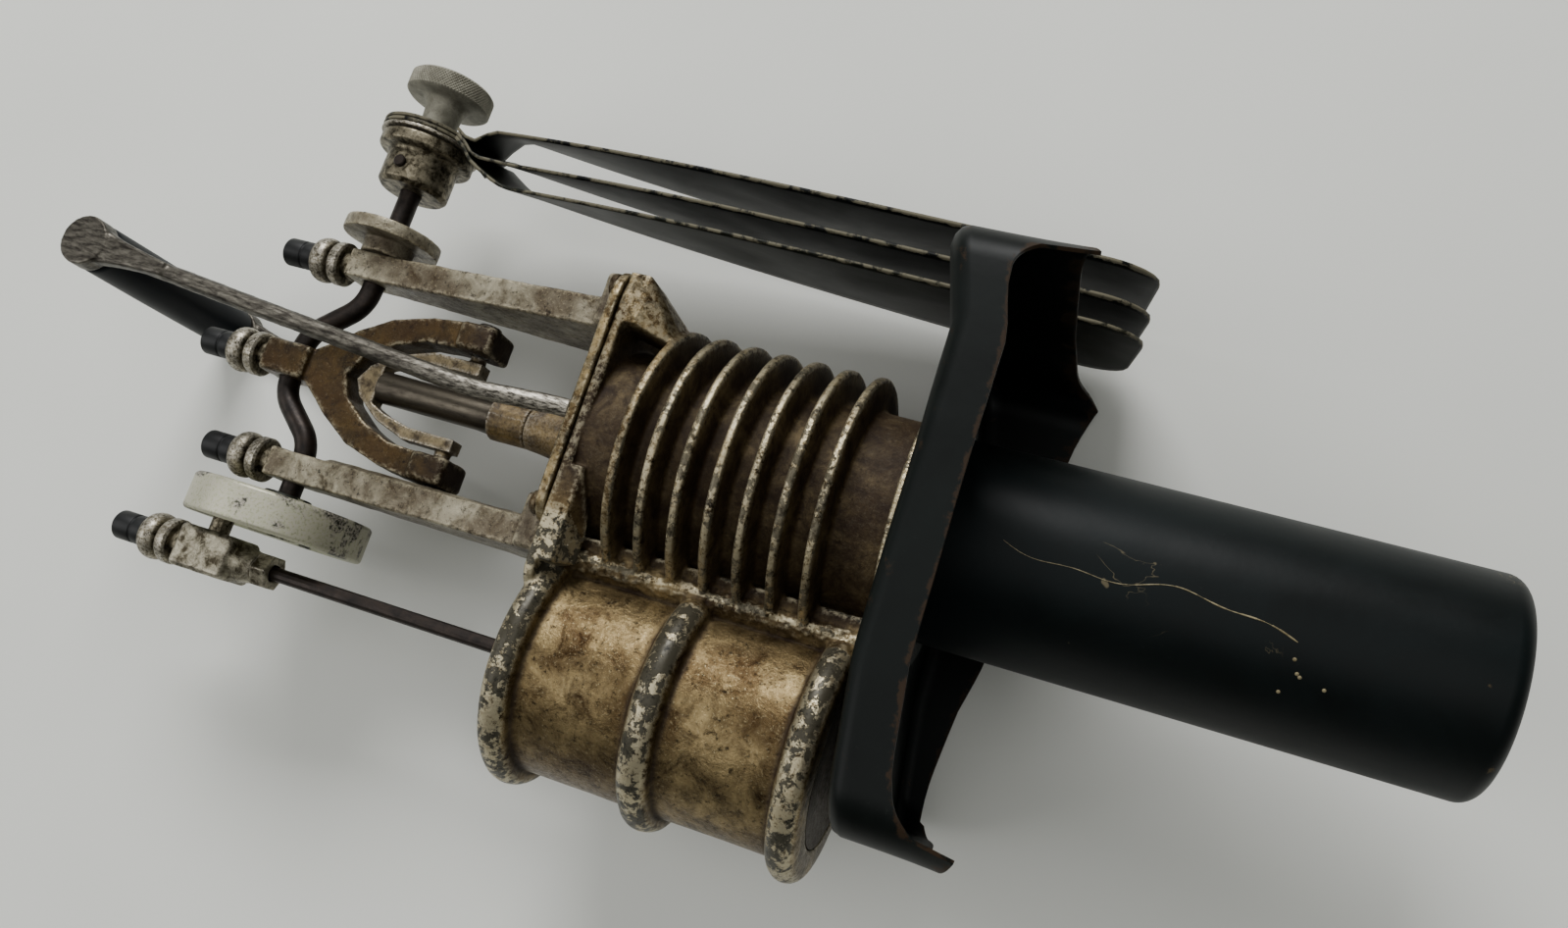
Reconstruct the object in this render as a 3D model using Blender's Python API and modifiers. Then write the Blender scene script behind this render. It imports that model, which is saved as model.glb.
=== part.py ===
"""Hot-air fan engine: finned cylinder, hot tube, crank gear, folded blades and carrying handle.

The origin is the centre of the hot tube's closed end. X runs along both cylinders, with the
crankshaft at negative X. Y runs along the crankshaft towards the fan, and Z is up, so the
engine lies on its side as it would on a bench. All sizes are in metres.
"""

import math

import bmesh
import bpy
from mathutils import Matrix, Vector

# Fits
GAP = 0.0003
RUN = 0.0003
BORE_FIT = 0.0015

# Hot tube and displacer cylinder
TUBE_LENGTH = 0.1692
TUBE_RADIUS = 0.0340
TUBE_WALL = 0.0020
TUBE_NOSE = 0.0075
TUBE_FLANGE_RADIUS = 0.0430
TUBE_FLANGE_THICK = 0.0030
BORE_RADIUS = 0.0310
ROOT_RADIUS = 0.0355
FIN_RADIUS = 0.0465
FIN_COUNT = 7
FIN_PITCH = 0.0112
FIN_ROOT_THICK = 0.0050
FIN_TIP_THICK = 0.0024
FIN_SETBACK = 0.0203
NECK_LENGTH = 0.0210
HOT_FLANGE_THICK = 0.0055

# Heat shield
SHIELD_SHEET = 0.0012
SHIELD_HALF_Y = 0.0870
SHIELD_CENTRE_Y = -0.0070
SHIELD_HALF_Z = 0.0745
SHIELD_CORNER = 0.0120
SKIRT_UPPER = 0.0160
SKIRT_LOWER = 0.0235
SKIRT_FAN_SIDE = 0.0370
SKIRT_DRUM_SIDE = 0.0240
TIP_FAN_UPPER = 0.0440
TIP_FAN_LOWER = 0.0490
TIP_DRUM_UPPER = 0.0360
TIP_DRUM_LOWER = 0.0100
SKIRT_TIP_SPAN = 0.0090
SHIELD_LEAN_FAN = 0.3000
SHIELD_LEAN_DRUM = 0.1300

# Power cylinder
POWER_OFFSET = 0.0762
DRUM_RADIUS = 0.0348
DRUM_RIM_RADIUS = 0.0407
DRUM_RIM_WIDTH = 0.0095
POWER_BORE = 0.0290
DRUM_MOUTH_REACH = 0.1165
DRUM_END_GAP = 0.0065
COVER_THICK = 0.0040
WEB_WIDTH = 0.0340

# Plates at the crank end
PLATE_THICK = 0.0036
PLATE_HALF_Z = 0.0372
PLATE_TOP_Y = 0.0545
FLANGE_LOW_Y = -0.0560
PLATE_CORNER = 0.0100

# Crank gear
CRANK_REACH = 0.1106
SHAFT_RADIUS = 0.0040
CRANK_THROW = 0.0185
POWER_PHASE = math.radians(17.0)
PIN_HALF = 0.0120
WEB_RUN = 0.0160
DISC_RADIUS = 0.0320
DISC_THICK = 0.0140
DISC_OUTER_Y = -0.0640
DISC_HUB_STEP = 0.0020
DOWEL_RADIUS = 0.0020
POWER_PIN_RADIUS = 0.0038
POWER_PIN_LENGTH = 0.0185

# Standards
FAN_STANDARD_Y = 0.0420
DISC_STANDARD_Y = -0.0380
STANDARD_THICK = 0.0108
FOOT_HALF_Z = 0.0210
ARM_HALF_Z = 0.0075
BOSS_RADIUS = 0.0095
LUG_LENGTH = 0.0090
LUG_WIDTH = 0.0190
LUG_HALF_Z = 0.0240
BEARING_FLANGE_RADIUS = 0.0183
BEARING_FLANGE_THICK = 0.0050

# Grease cups
CUP_RADIUS = 0.0054
CUP_LENGTH = 0.0140
NUT_RADIUS = 0.0088
NUT_LENGTH = 0.0075
RING_RADIUS = 0.0078
RING_LENGTH = 0.0065
NECK_RADIUS = 0.0050
CUP_NECK = 0.0030

# Fan
HUB_BASE_Y = 0.0755
HUB_BOSS_RADIUS = 0.0135
HUB_FLANGE_RADIUS = 0.0180
HUB_FLANGE_THICK = 0.0055
HUB_BOSS_LENGTH = 0.0142
EYE_RADIUS = 0.0190
BLADE_SHEET = 0.0012
BLADE_STEP = 0.0017
BLADE_TIP_RADIUS = 0.2780
BLADE_ROOT_PITCH = math.radians(14.0)
BLADE_TIP_PITCH = math.radians(6.5)
BLADE_ROOT_CHORD = 0.0300
BLADE_TIP_CHORD = 0.0700
BLADE_RISES = (0.0090, -0.0010, -0.0085)
BLADE_DIPS = (math.radians(6.1), math.radians(6.7), math.radians(7.0))
KNOB_RADIUS = 0.0174
KNOB_THICK = 0.0080
KNOB_NECK_RADIUS = 0.0075
KNOB_NECK_LENGTH = 0.0140

# Displacer gear
ROD_RADIUS = 0.0060
GUIDE_LENGTH = 0.0420
GUIDE_BASE_RADIUS = 0.0112
GUIDE_TIP_RADIUS = 0.0080
DISPLACER_RADIUS = BORE_RADIUS - BORE_FIT
DISPLACER_WALL = 0.0012
DISPLACER_LID = 0.0030
HEAD_CLEAR = 0.0045
FORK_HALF_Z = 0.0062
FORK_LENGTH = 0.0785
FORK_INNER_Y = 0.0200
FORK_OUTER_Y = 0.0302
FORK_SCREW_HEAD = 0.0016
FORK_END_LENGTH = 0.0140
FORK_END_HALF_Z = 0.0090
YOKE_HALF_Z = 0.0036
YOKE_WALL = 0.0048
PIVOT_RADIUS = 0.0030
BIG_END_HALF = 0.0095
BIG_END_WIDTH = 0.0124

# Power rod and piston
POWER_ROD_RADIUS = 0.0026
POWER_ROD_LENGTH = 0.1760
POWER_BLOCK_LENGTH = 0.0230
POWER_EYE_RADIUS = 0.0048
PISTON_WALL = 0.0020
PISTON_CROWN = 0.0030
PISTON_LENGTH = 0.0520
COLLAR_LENGTH = 0.0080
LOCK_NUT_LENGTH = 0.0065
LOCK_NUT_RADIUS = 0.0066

# Handle
HANDLE_ROD_RADIUS = 0.0033
HANDLE_FOOT_Y = 0.0035
HANDLE_FOOT_Z = 0.0330
HANDLE_STUB = 0.0080
HANDLE_BEND_REACH = 0.0340
HANDLE_BEND_Z = 0.0385
GRIP_LENGTH = 0.0816
GRIP_RADIUS = 0.0094
GRIP_REACH = 0.1955
GRIP_Y = 0.0145
HANDLE_EYE_THICK = 0.0069

# Screws
SCREW_RADIUS = 0.0022
SCREW_HEAD_RADIUS = 0.0042
SCREW_HEAD = 0.0026

# Facets
FINE = 40
MEDIUM = 24
SMALL = 14

# Stations along X, from the hot end back to the crank
SHIELD_X = -TUBE_LENGTH - GAP - SHIELD_SHEET / 2
HOT_FACE_X = SHIELD_X - SHIELD_SHEET / 2 - GAP
FIRST_FIN_X = HOT_FACE_X - HOT_FLANGE_THICK - FIN_SETBACK - (FIN_COUNT - 1) * FIN_PITCH
CAST_FACE_X = FIRST_FIN_X - NECK_LENGTH
PLATE_BACK_X = CAST_FACE_X - GAP
PLATE_FACE_X = PLATE_BACK_X - PLATE_THICK
CRANK_X = PLATE_FACE_X - CRANK_REACH
FORK_PIN_X = CRANK_X - CRANK_THROW
FORK_END_X = FORK_PIN_X + FORK_LENGTH
DRUM_END_X = HOT_FACE_X - DRUM_END_GAP
POWER_PIN_X = CRANK_X - CRANK_THROW * math.cos(POWER_PHASE)
POWER_PIN_Z = CRANK_THROW * math.sin(POWER_PHASE)
POWER_EYE_X = POWER_PIN_X + POWER_ROD_LENGTH
HUB_FLANGE_Y = HUB_BASE_Y + HUB_BOSS_LENGTH
HUB_TOP_Y = HUB_FLANGE_Y + HUB_FLANGE_THICK
PLATE_LOW_Y = -POWER_OFFSET + DRUM_RIM_RADIUS + 0.0010
KNOB_BASE_Y = HUB_TOP_Y + GAP + 3 * BLADE_STEP
GRIP_X = PLATE_FACE_X - GRIP_REACH


def clear_scene():
    for obj in list(bpy.data.objects):
        bpy.data.objects.remove(obj, do_unlink=True)


def new_collection(name):
    collection = bpy.data.collections.new(name)
    bpy.context.scene.collection.children.link(collection)
    return collection


clear_scene()
PARTS = new_collection("hot_air_fan_engine")
CUTTERS = new_collection("cutters")


def material(name, colour, roughness, metallic):
    made = bpy.data.materials.new(name)
    made.use_nodes = True
    shader = made.node_tree.nodes["Principled BSDF"]
    shader.inputs["Base Color"].default_value = (*colour, 1.0)
    shader.inputs["Roughness"].default_value = roughness
    shader.inputs["Metallic"].default_value = metallic
    return made


CAST = material("silver_painted_iron", (0.42, 0.39, 0.31), 0.5, 0.6)
ENAMEL = material("black_green_enamel", (0.02, 0.035, 0.03), 0.35, 0.0)
STEEL = material("worn_steel", (0.30, 0.28, 0.25), 0.4, 0.9)
DARK_STEEL = material("oiled_steel", (0.09, 0.07, 0.055), 0.4, 0.8)
BRONZE = material("bronze", (0.28, 0.20, 0.11), 0.45, 0.8)
EBONITE = material("ebonite", (0.012, 0.014, 0.015), 0.4, 0.0)
NICKEL = material("nickel_plate", (0.45, 0.43, 0.38), 0.35, 0.9)


def add_mesh(name, mesh, finish, collection=PARTS):
    obj = bpy.data.objects.new(name, mesh)
    collection.objects.link(obj)
    if finish is not None:
        mesh.materials.append(finish)
    return obj


def as_cutter(obj):
    for owner in list(obj.users_collection):
        owner.objects.unlink(obj)
    CUTTERS.objects.link(obj)
    obj.hide_render = True
    obj.display_type = "WIRE"
    return obj


def along(obj, axis, origin):
    """Turns local Z onto a world axis and puts the object's origin there."""
    turns = {
        "X": (0, math.pi / 2, 0),
        "-X": (0, -math.pi / 2, 0),
        "Y": (-math.pi / 2, 0, 0),
        "-Y": (math.pi / 2, 0, 0),
        "Z": (0, 0, 0),
        "-Z": (math.pi, 0, 0),
    }
    obj.rotation_euler = turns[axis]
    obj.location = origin
    return obj


def set_origin(obj, point):
    """Moves the object's origin to a world point and leaves its shape where it is."""
    placed = Matrix.LocRotScale(obj.location, obj.rotation_euler, obj.scale)
    shift = placed.inverted() @ Vector(point)
    obj.data.transform(Matrix.Translation(-shift))
    obj.location = point
    return obj


def turned(name, profile, axis, origin, finish, steps=MEDIUM, ring=False):
    """A turned piece: (radius, height) points from the top of the outside down, about local Z."""
    mesh = bpy.data.meshes.new(name)
    points = [(radius, 0, height) for radius, height in profile]
    edges = [(i, i + 1) for i in range(len(points) - 1)]
    if ring:
        edges.append((len(points) - 1, 0))
    mesh.from_pydata(points, edges, [])
    obj = add_mesh(name, mesh, finish)
    screw = obj.modifiers.new("turn", "SCREW")
    screw.steps = steps
    screw.render_steps = steps
    screw.use_merge_vertices = True
    screw.merge_threshold = 0.00001
    screw.use_smooth_shade = False
    return along(obj, axis, origin)


def cylinder(name, radius, low, high, axis, origin, finish, steps=MEDIUM):
    profile = [(0, high), (radius, high), (radius, low), (0, low)]
    return turned(name, profile, axis, origin, finish, steps)


def tube(name, outer, inner, low, high, axis, origin, finish, steps=MEDIUM):
    profile = [(inner, high), (outer, high), (outer, low), (inner, low)]
    return turned(name, profile, axis, origin, finish, steps, ring=True)


def box(name, low, high, finish, bevel=0.0):
    mesh = bpy.data.meshes.new(name)
    shape = bmesh.new()
    bmesh.ops.create_cube(shape, size=1.0)
    size = [high[i] - low[i] for i in range(3)]
    centre = [(high[i] + low[i]) / 2 for i in range(3)]
    matrix = Matrix.Translation(centre) @ Matrix.Diagonal((*size, 1.0))
    bmesh.ops.transform(shape, matrix=matrix, verts=shape.verts)
    shape.to_mesh(mesh)
    shape.free()
    obj = add_mesh(name, mesh, finish)
    if bevel > 0:
        add_bevel(obj, bevel)
    return obj


def add_bevel(obj, width, segments=1):
    bevel = obj.modifiers.new("round", "BEVEL")
    bevel.width = width
    bevel.segments = segments
    bevel.limit_method = "ANGLE"
    bevel.angle_limit = math.radians(40)


def boolean(obj, other, operation):
    step = obj.modifiers.new(operation.lower() + "_" + other.name, "BOOLEAN")
    step.operation = operation
    step.object = as_cutter(other)
    return obj


def cut(obj, other):
    return boolean(obj, other, "DIFFERENCE")


def join(obj, other):
    return boolean(obj, other, "UNION")


def meshed(curve_obj, finish):
    """Makes a mesh object of a curve, with its caps welded."""
    bpy.context.view_layer.update()
    graph = bpy.context.evaluated_depsgraph_get()
    mesh = bpy.data.meshes.new_from_object(curve_obj.evaluated_get(graph))
    shape = bmesh.new()
    shape.from_mesh(mesh)
    bmesh.ops.remove_doubles(shape, verts=shape.verts, dist=0.000001)
    bmesh.ops.recalc_face_normals(shape, faces=shape.faces)
    shape.to_mesh(mesh)
    shape.free()
    name = curve_obj.name
    matrix = curve_obj.matrix_world.copy()
    bpy.data.objects.remove(curve_obj, do_unlink=True)
    mesh.materials.clear()
    obj = add_mesh(name, mesh, finish)
    obj.name = name
    obj.matrix_world = matrix
    return obj


def flat(name, outline, half_thick, finish, origin=(0, 0, 0), rotation=(0, 0, 0)):
    """A flat outline in local XY, extruded both ways along local Z."""
    curve = bpy.data.curves.new(name, "CURVE")
    curve.dimensions = "2D"
    curve.fill_mode = "BOTH"
    curve.extrude = half_thick
    spline = curve.splines.new("POLY")
    spline.points.add(len(outline) - 1)
    for point, (x, y) in zip(spline.points, outline):
        point.co = (x, y, 0, 1)
    spline.use_cyclic_u = True
    obj = bpy.data.objects.new(name, curve)
    PARTS.objects.link(obj)
    obj.location = origin
    obj.rotation_euler = rotation
    return meshed(obj, finish)


def rounded_path(points, radius, steps=3):
    """The corner points of a bent rod, each replaced by a short arc."""
    path = [Vector(points[0])]
    for before, corner, after in zip(points, points[1:], points[2:]):
        corner = Vector(corner)
        back = (Vector(before) - corner).normalized()
        ahead = (Vector(after) - corner).normalized()
        reach = min(radius, (Vector(before) - corner).length / 2, (Vector(after) - corner).length / 2)
        for i in range(steps + 1):
            t = i / steps
            start = corner + back * reach * (1 - t)
            end = corner + ahead * reach * t
            path.append(start.lerp(end, t))
    path.append(Vector(points[-1]))
    return path


def rod(name, points, radius, finish, sides=2, bend=0.008):
    curve = bpy.data.curves.new(name, "CURVE")
    curve.dimensions = "3D"
    curve.bevel_depth = radius
    curve.bevel_resolution = sides
    curve.use_fill_caps = True
    path = rounded_path(points, bend) if len(points) > 2 else [Vector(p) for p in points]
    spline = curve.splines.new("POLY")
    spline.points.add(len(path) - 1)
    for point, co in zip(spline.points, path):
        point.co = (*co, 1)
    obj = bpy.data.objects.new(name, curve)
    PARTS.objects.link(obj)
    return meshed(obj, finish)


def arc(centre, radius, start, end, steps):
    """Points on an arc, angles in degrees."""
    points = []
    for i in range(steps + 1):
        angle = math.radians(start + (end - start) * i / steps)
        points.append((centre[0] + radius * math.cos(angle), centre[1] + radius * math.sin(angle)))
    return points


def rounded_rectangle(low, high, radius, steps=4):
    left, bottom = low[0] + radius, low[1] + radius
    right, top = high[0] - radius, high[1] - radius
    return (
        arc((right, bottom), radius, -90, 0, steps)
        + arc((right, top), radius, 0, 90, steps)
        + arc((left, top), radius, 90, 180, steps)
        + arc((left, bottom), radius, 180, 270, steps)
    )


FLAT_ACROSS_X = (math.pi / 2, 0, math.pi / 2)


def slab_across_x(name, outline, x_low, x_high, finish):
    """An outline in (Y, Z), extruded along X between two stations."""
    middle = ((x_low + x_high) / 2, 0, 0)
    return flat(name, outline, (x_high - x_low) / 2, finish, middle, FLAT_ACROSS_X)


def slab_across_y(name, outline, y_low, y_high, finish):
    """An outline in (X, Z), extruded along Y between two stations."""
    middle = (0, (y_low + y_high) / 2, 0)
    return flat(name, outline, (y_high - y_low) / 2, finish, middle, (math.pi / 2, 0, 0))


# --- Cylinders ---------------------------------------------------------------------------


def finned_profile():
    """Outside of the displacer cylinder, as (radius, X) from the hot face back to the crank end."""
    profile = [(0, HOT_FACE_X), (FIN_RADIUS, HOT_FACE_X)]
    profile.append((FIN_RADIUS, HOT_FACE_X - HOT_FLANGE_THICK))
    profile.append((ROOT_RADIUS, HOT_FACE_X - HOT_FLANGE_THICK))
    for number in reversed(range(FIN_COUNT)):
        middle = FIRST_FIN_X + number * FIN_PITCH
        profile.append((ROOT_RADIUS, middle + FIN_ROOT_THICK / 2))
        profile.append((FIN_RADIUS, middle + FIN_TIP_THICK / 2))
        profile.append((FIN_RADIUS, middle - FIN_TIP_THICK / 2))
        profile.append((ROOT_RADIUS, middle - FIN_ROOT_THICK / 2))
    profile.append((ROOT_RADIUS, CAST_FACE_X))
    profile.append((0, CAST_FACE_X))
    return profile


def rim_points(middle):
    """Three points of one raised band round the drum."""
    half = DRUM_RIM_WIDTH / 2
    return [
        (DRUM_RADIUS, middle + half),
        (DRUM_RIM_RADIUS, middle + half * 0.6),
        (DRUM_RIM_RADIUS, middle - half * 0.6),
        (DRUM_RADIUS, middle - half),
    ]


def drum_profile():
    half = DRUM_RIM_WIDTH / 2
    mouth = CAST_FACE_X
    rims = [DRUM_END_X - half, (DRUM_END_X + mouth) / 2, mouth + half]
    profile = [(0, DRUM_END_X)]
    for middle in rims:
        profile += rim_points(middle)
    profile.append((0, mouth))
    return profile


def crank_end_outline():
    """The casting's flange in (Y, Z), which runs down into the drum's rim."""
    inset = 0.0010
    low = (FLANGE_LOW_Y, inset - PLATE_HALF_Z)
    high = (PLATE_TOP_Y - inset, PLATE_HALF_Z - inset)
    return rounded_rectangle(low, high, PLATE_CORNER - inset)


def cylinder_casting():
    casting = turned("cylinder_casting", finned_profile(), "X", (0, 0, 0), CAST, FINE)
    drum_at = (0, -POWER_OFFSET, 0)
    drum = turned("drum_body", drum_profile(), "X", drum_at, CAST, FINE)
    flange = slab_across_x(
        "crank_end_flange", crank_end_outline(), CAST_FACE_X, CAST_FACE_X + PLATE_THICK, CAST
    )
    web_low = (CAST_FACE_X + 0.0004, -POWER_OFFSET + DRUM_RADIUS * 0.8, -WEB_WIDTH / 2)
    web_high = (DRUM_END_X - 0.0004, -ROOT_RADIUS * 0.8, WEB_WIDTH / 2)
    web = box("cylinder_web", web_low, web_high, CAST)
    for piece in (flange, drum, web):
        join(casting, piece)
    past = 0.001
    bore = cylinder(
        "displacer_bore", BORE_RADIUS, CAST_FACE_X - past, HOT_FACE_X + past, "X", (0, 0, 0), None, FINE
    )
    power = cylinder(
        "power_bore", POWER_BORE, CAST_FACE_X - past, DRUM_END_X + past, "X", drum_at, None, FINE
    )
    cut(casting, bore)
    cut(casting, power)
    return casting


def power_cylinder_cover():
    """Plug that shuts the hot side of the power cylinder, inside its bore."""
    seat = DRUM_END_X - COVER_THICK
    radius = POWER_BORE - GAP
    profile = [
        (0, DRUM_END_X),
        (radius - 0.001, DRUM_END_X),
        (radius, DRUM_END_X - 0.001),
        (radius, seat),
        (0, seat),
    ]
    return turned("power_cylinder_cover", profile, "X", (0, -POWER_OFFSET, 0), CAST, FINE)


def hot_tube():
    """Closed tube with a rounded end and a flange that clamps the heat shield."""
    outside = [(0, 0)]
    steps = 4
    for i in range(steps + 1):
        angle = math.pi / 2 * (1 - i / steps)
        radius = TUBE_RADIUS - TUBE_NOSE + TUBE_NOSE * math.cos(angle)
        outside.append((radius, -TUBE_NOSE + TUBE_NOSE * math.sin(angle)))
    inner = TUBE_RADIUS - TUBE_WALL
    profile = outside + [
        (TUBE_RADIUS, -TUBE_LENGTH + TUBE_FLANGE_THICK),
        (TUBE_FLANGE_RADIUS, -TUBE_LENGTH + TUBE_FLANGE_THICK),
        (TUBE_FLANGE_RADIUS, -TUBE_LENGTH),
        (inner, -TUBE_LENGTH),
        (inner, -TUBE_NOSE),
        (inner - TUBE_NOSE + TUBE_WALL, -TUBE_WALL),
        (0, -TUBE_WALL),
    ]
    return turned("hot_tube", profile, "X", (0, 0, 0), ENAMEL, FINE)


# --- Heat shield -------------------------------------------------------------------------


def shield_perimeter():
    """Points round the folded edge in (Y, Z), each with its share of the way to a corner."""
    low = (SHIELD_CENTRE_Y - SHIELD_HALF_Y, -SHIELD_HALF_Z)
    high = (SHIELD_CENTRE_Y + SHIELD_HALF_Y, SHIELD_HALF_Z)
    corners = [
        ((high[0], low[1]), -90),
        ((high[0], high[1]), 0),
        ((low[0], high[1]), 90),
        ((low[0], low[1]), 180),
    ]
    points = []
    for (y, z), start in corners:
        inward_y = y - math.copysign(SHIELD_CORNER, y)
        inward_z = z - math.copysign(SHIELD_CORNER, z)
        points += arc((inward_y, inward_z), SHIELD_CORNER, start, start + 90, 4)
    whole = []
    for index, point in enumerate(points):
        whole.append(point)
        follower = points[(index + 1) % len(points)]
        span = math.dist(point, follower)
        if span > 4 * SHIELD_CORNER:
            for share in (0.1, 0.2, 0.35, 0.5, 0.65, 0.8, 0.9):
                y = point[0] + (follower[0] - point[0]) * share
                z = point[1] + (follower[1] - point[1]) * share
                whole.append((y, z))
    return whole


def skirt_depth(y, z):
    """How far the folded skirt stands out at this place on the edge."""
    from_y_edge = SHIELD_HALF_Y - abs(y - SHIELD_CENTRE_Y)
    from_z_edge = SHIELD_HALF_Z - abs(z)
    fan_side, upper = y > SHIELD_CENTRE_Y, z > 0
    if from_z_edge < from_y_edge:
        side = SKIRT_UPPER if upper else SKIRT_LOWER
    else:
        side = SKIRT_FAN_SIDE if fan_side else SKIRT_DRUM_SIDE
    if fan_side:
        tip = TIP_FAN_UPPER if upper else TIP_FAN_LOWER
    else:
        tip = TIP_DRUM_UPPER if upper else TIP_DRUM_LOWER
    span = SKIRT_TIP_SPAN * (1 if tip > side else 3)
    reach = math.exp(-max(from_y_edge, from_z_edge) / span)
    return side + (tip - side) * reach


def lean(y):
    """The plate is bent: its far wings lean back on the fan side and out on the drum side."""
    beyond = max(0.0, abs(y) - FIN_RADIUS)
    return -SHIELD_LEAN_FAN * beyond if y > 0 else SHIELD_LEAN_DRUM * beyond


def heat_shield():
    """Square pan: a holed plate with four skirts folded towards the hot end."""
    edge = shield_perimeter()
    count = len(edge)
    rings = []
    for radius in (TUBE_RADIUS + GAP, FIN_RADIUS):
        ring = []
        for y, z in edge:
            angle = math.atan2(z, y)
            ring.append((SHIELD_X, radius * math.cos(angle), radius * math.sin(angle)))
        rings.append(ring)
    fold = 0.0030
    inset = 1 - fold / SHIELD_HALF_Z
    rings.append([(SHIELD_X + lean(y), y * inset, z * inset) for y, z in edge])
    rings.append([(SHIELD_X + lean(y) + fold, y, z) for y, z in edge])
    rings.append([(SHIELD_X + lean(y) + skirt_depth(y, z), y * 1.01, z * 1.01) for y, z in edge])
    mesh = bpy.data.meshes.new("heat_shield")
    points = [point for ring in rings for point in ring]
    faces = []
    for level in range(len(rings) - 1):
        for i in range(count):
            j = (i + 1) % count
            low, high = level * count, (level + 1) * count
            faces.append((low + i, low + j, high + j, high + i))
    mesh.from_pydata(points, [], faces)
    obj = add_mesh("heat_shield", mesh, ENAMEL)
    shell = obj.modifiers.new("sheet", "SOLIDIFY")
    shell.thickness = SHIELD_SHEET
    shell.offset = 0
    return obj


# --- Plate, standards and bearings -------------------------------------------------------


def top_plate():
    """Cover plate over the displacer cylinder, with the rod's hole in its middle."""
    outline = rounded_rectangle(
        (PLATE_LOW_Y, -PLATE_HALF_Z), (PLATE_TOP_Y, PLATE_HALF_Z), PLATE_CORNER
    )
    plate = slab_across_x("top_plate", outline, PLATE_FACE_X, PLATE_BACK_X, CAST)
    hole = cylinder(
        "rod_hole", ROD_RADIUS + RUN, PLATE_FACE_X - 0.001, PLATE_BACK_X + 0.001, "X", (0, 0, 0), None
    )
    return cut(plate, hole)


def standard(name, middle_y, lug_side):
    """Tapered arm from the plate to a shaft bearing, with a lug at its foot."""
    foot_x = PLATE_FACE_X - GAP
    boss_front = CRANK_X + BOSS_RADIUS
    outline = [
        (foot_x, -FOOT_HALF_Z),
        (foot_x, FOOT_HALF_Z),
        (boss_front, ARM_HALF_Z),
        (CRANK_X - BOSS_RADIUS, ARM_HALF_Z),
        (CRANK_X - BOSS_RADIUS, -ARM_HALF_Z),
        (boss_front, -ARM_HALF_Z),
    ]
    low_y, high_y = middle_y - STANDARD_THICK / 2, middle_y + STANDARD_THICK / 2
    arm = slab_across_y(name, outline, low_y, high_y, CAST)
    lug_low = low_y if lug_side > 0 else high_y - LUG_WIDTH
    lug = box(
        name + "_lug",
        (foot_x - LUG_LENGTH, lug_low, -LUG_HALF_Z),
        (foot_x, lug_low + LUG_WIDTH, LUG_HALF_Z),
        CAST,
        0.0012,
    )
    join(arm, lug)
    bore = cylinder(
        name + "_bore",
        SHAFT_RADIUS + RUN,
        low_y - 0.01,
        high_y + 0.01,
        "Y",
        (CRANK_X, 0, 0),
        None,
    )
    return cut(arm, bore)


def bearing_flange():
    """Thrust flange round the shaft, on the fan side of its bearing."""
    low = FAN_STANDARD_Y + STANDARD_THICK / 2 + GAP
    neck = 0.0058
    bore = SHAFT_RADIUS + RUN
    high = low + neck + BEARING_FLANGE_THICK
    profile = [
        (bore, high),
        (BEARING_FLANGE_RADIUS, high),
        (BEARING_FLANGE_RADIUS, high - BEARING_FLANGE_THICK),
        (BOSS_RADIUS, high - BEARING_FLANGE_THICK),
        (BOSS_RADIUS, low),
        (bore, low),
    ]
    origin = (CRANK_X, 0, 0)
    return turned("bearing_flange", profile, "Y", origin, CAST, FINE, ring=True)


def grease_cup(name, seat_x, y, z):
    """A nipple screwed into the bearing's end, and the cap on it, both along -X."""
    base_top = CUP_NECK + RING_LENGTH + NUT_LENGTH
    groove = 0.0010
    shank = CUP_RADIUS - 0.0014
    profile = [
        (0, base_top + CUP_LENGTH / 2),
        (shank - GAP, base_top + CUP_LENGTH / 2),
        (shank - GAP, base_top),
        (NUT_RADIUS - 0.002, base_top),
        (NUT_RADIUS, base_top - 0.002),
        (NUT_RADIUS, base_top - NUT_LENGTH + groove),
        (NECK_RADIUS, base_top - NUT_LENGTH + groove),
        (NECK_RADIUS, CUP_NECK + RING_LENGTH),
        (RING_RADIUS, CUP_NECK + RING_LENGTH),
        (RING_RADIUS, CUP_NECK),
        (NECK_RADIUS, CUP_NECK),
        (NECK_RADIUS, 0),
        (0, 0),
    ]
    seat = (seat_x - GAP, y, z)
    turned("nipple_" + name, profile, "-X", seat, NICKEL, MEDIUM)
    low, high = base_top + GAP, base_top + CUP_LENGTH
    roof = base_top + CUP_LENGTH / 2 + GAP
    cap = [
        (0, high),
        (CUP_RADIUS - 0.0008, high),
        (CUP_RADIUS, high - 0.0008),
        (CUP_RADIUS, low),
        (shank, low),
        (shank, roof),
        (0, roof),
    ]
    turned("grease_cap_" + name, cap, "-X", seat, EBONITE, MEDIUM)


def rod_guide():
    """Tapered stuffing box on the plate, and the gland nut on its tip."""
    bore = ROD_RADIUS + RUN
    nut = 0.0150
    foot = -PLATE_FACE_X + GAP
    tip = foot + GUIDE_LENGTH - nut
    body = [
        (bore, tip),
        (GUIDE_TIP_RADIUS + 0.0008, tip),
        (GUIDE_BASE_RADIUS, foot + 0.006),
        (GUIDE_BASE_RADIUS + 0.003, foot + 0.0045),
        (GUIDE_BASE_RADIUS + 0.003, foot),
        (bore, foot),
    ]
    turned("rod_guide", body, "-X", (0, 0, 0), BRONZE, MEDIUM, ring=True)
    tube("gland_nut", GUIDE_TIP_RADIUS, bore, tip + GAP, tip + nut, "-X", (0, 0, 0), BRONZE)


# --- Crank -------------------------------------------------------------------------------


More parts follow.
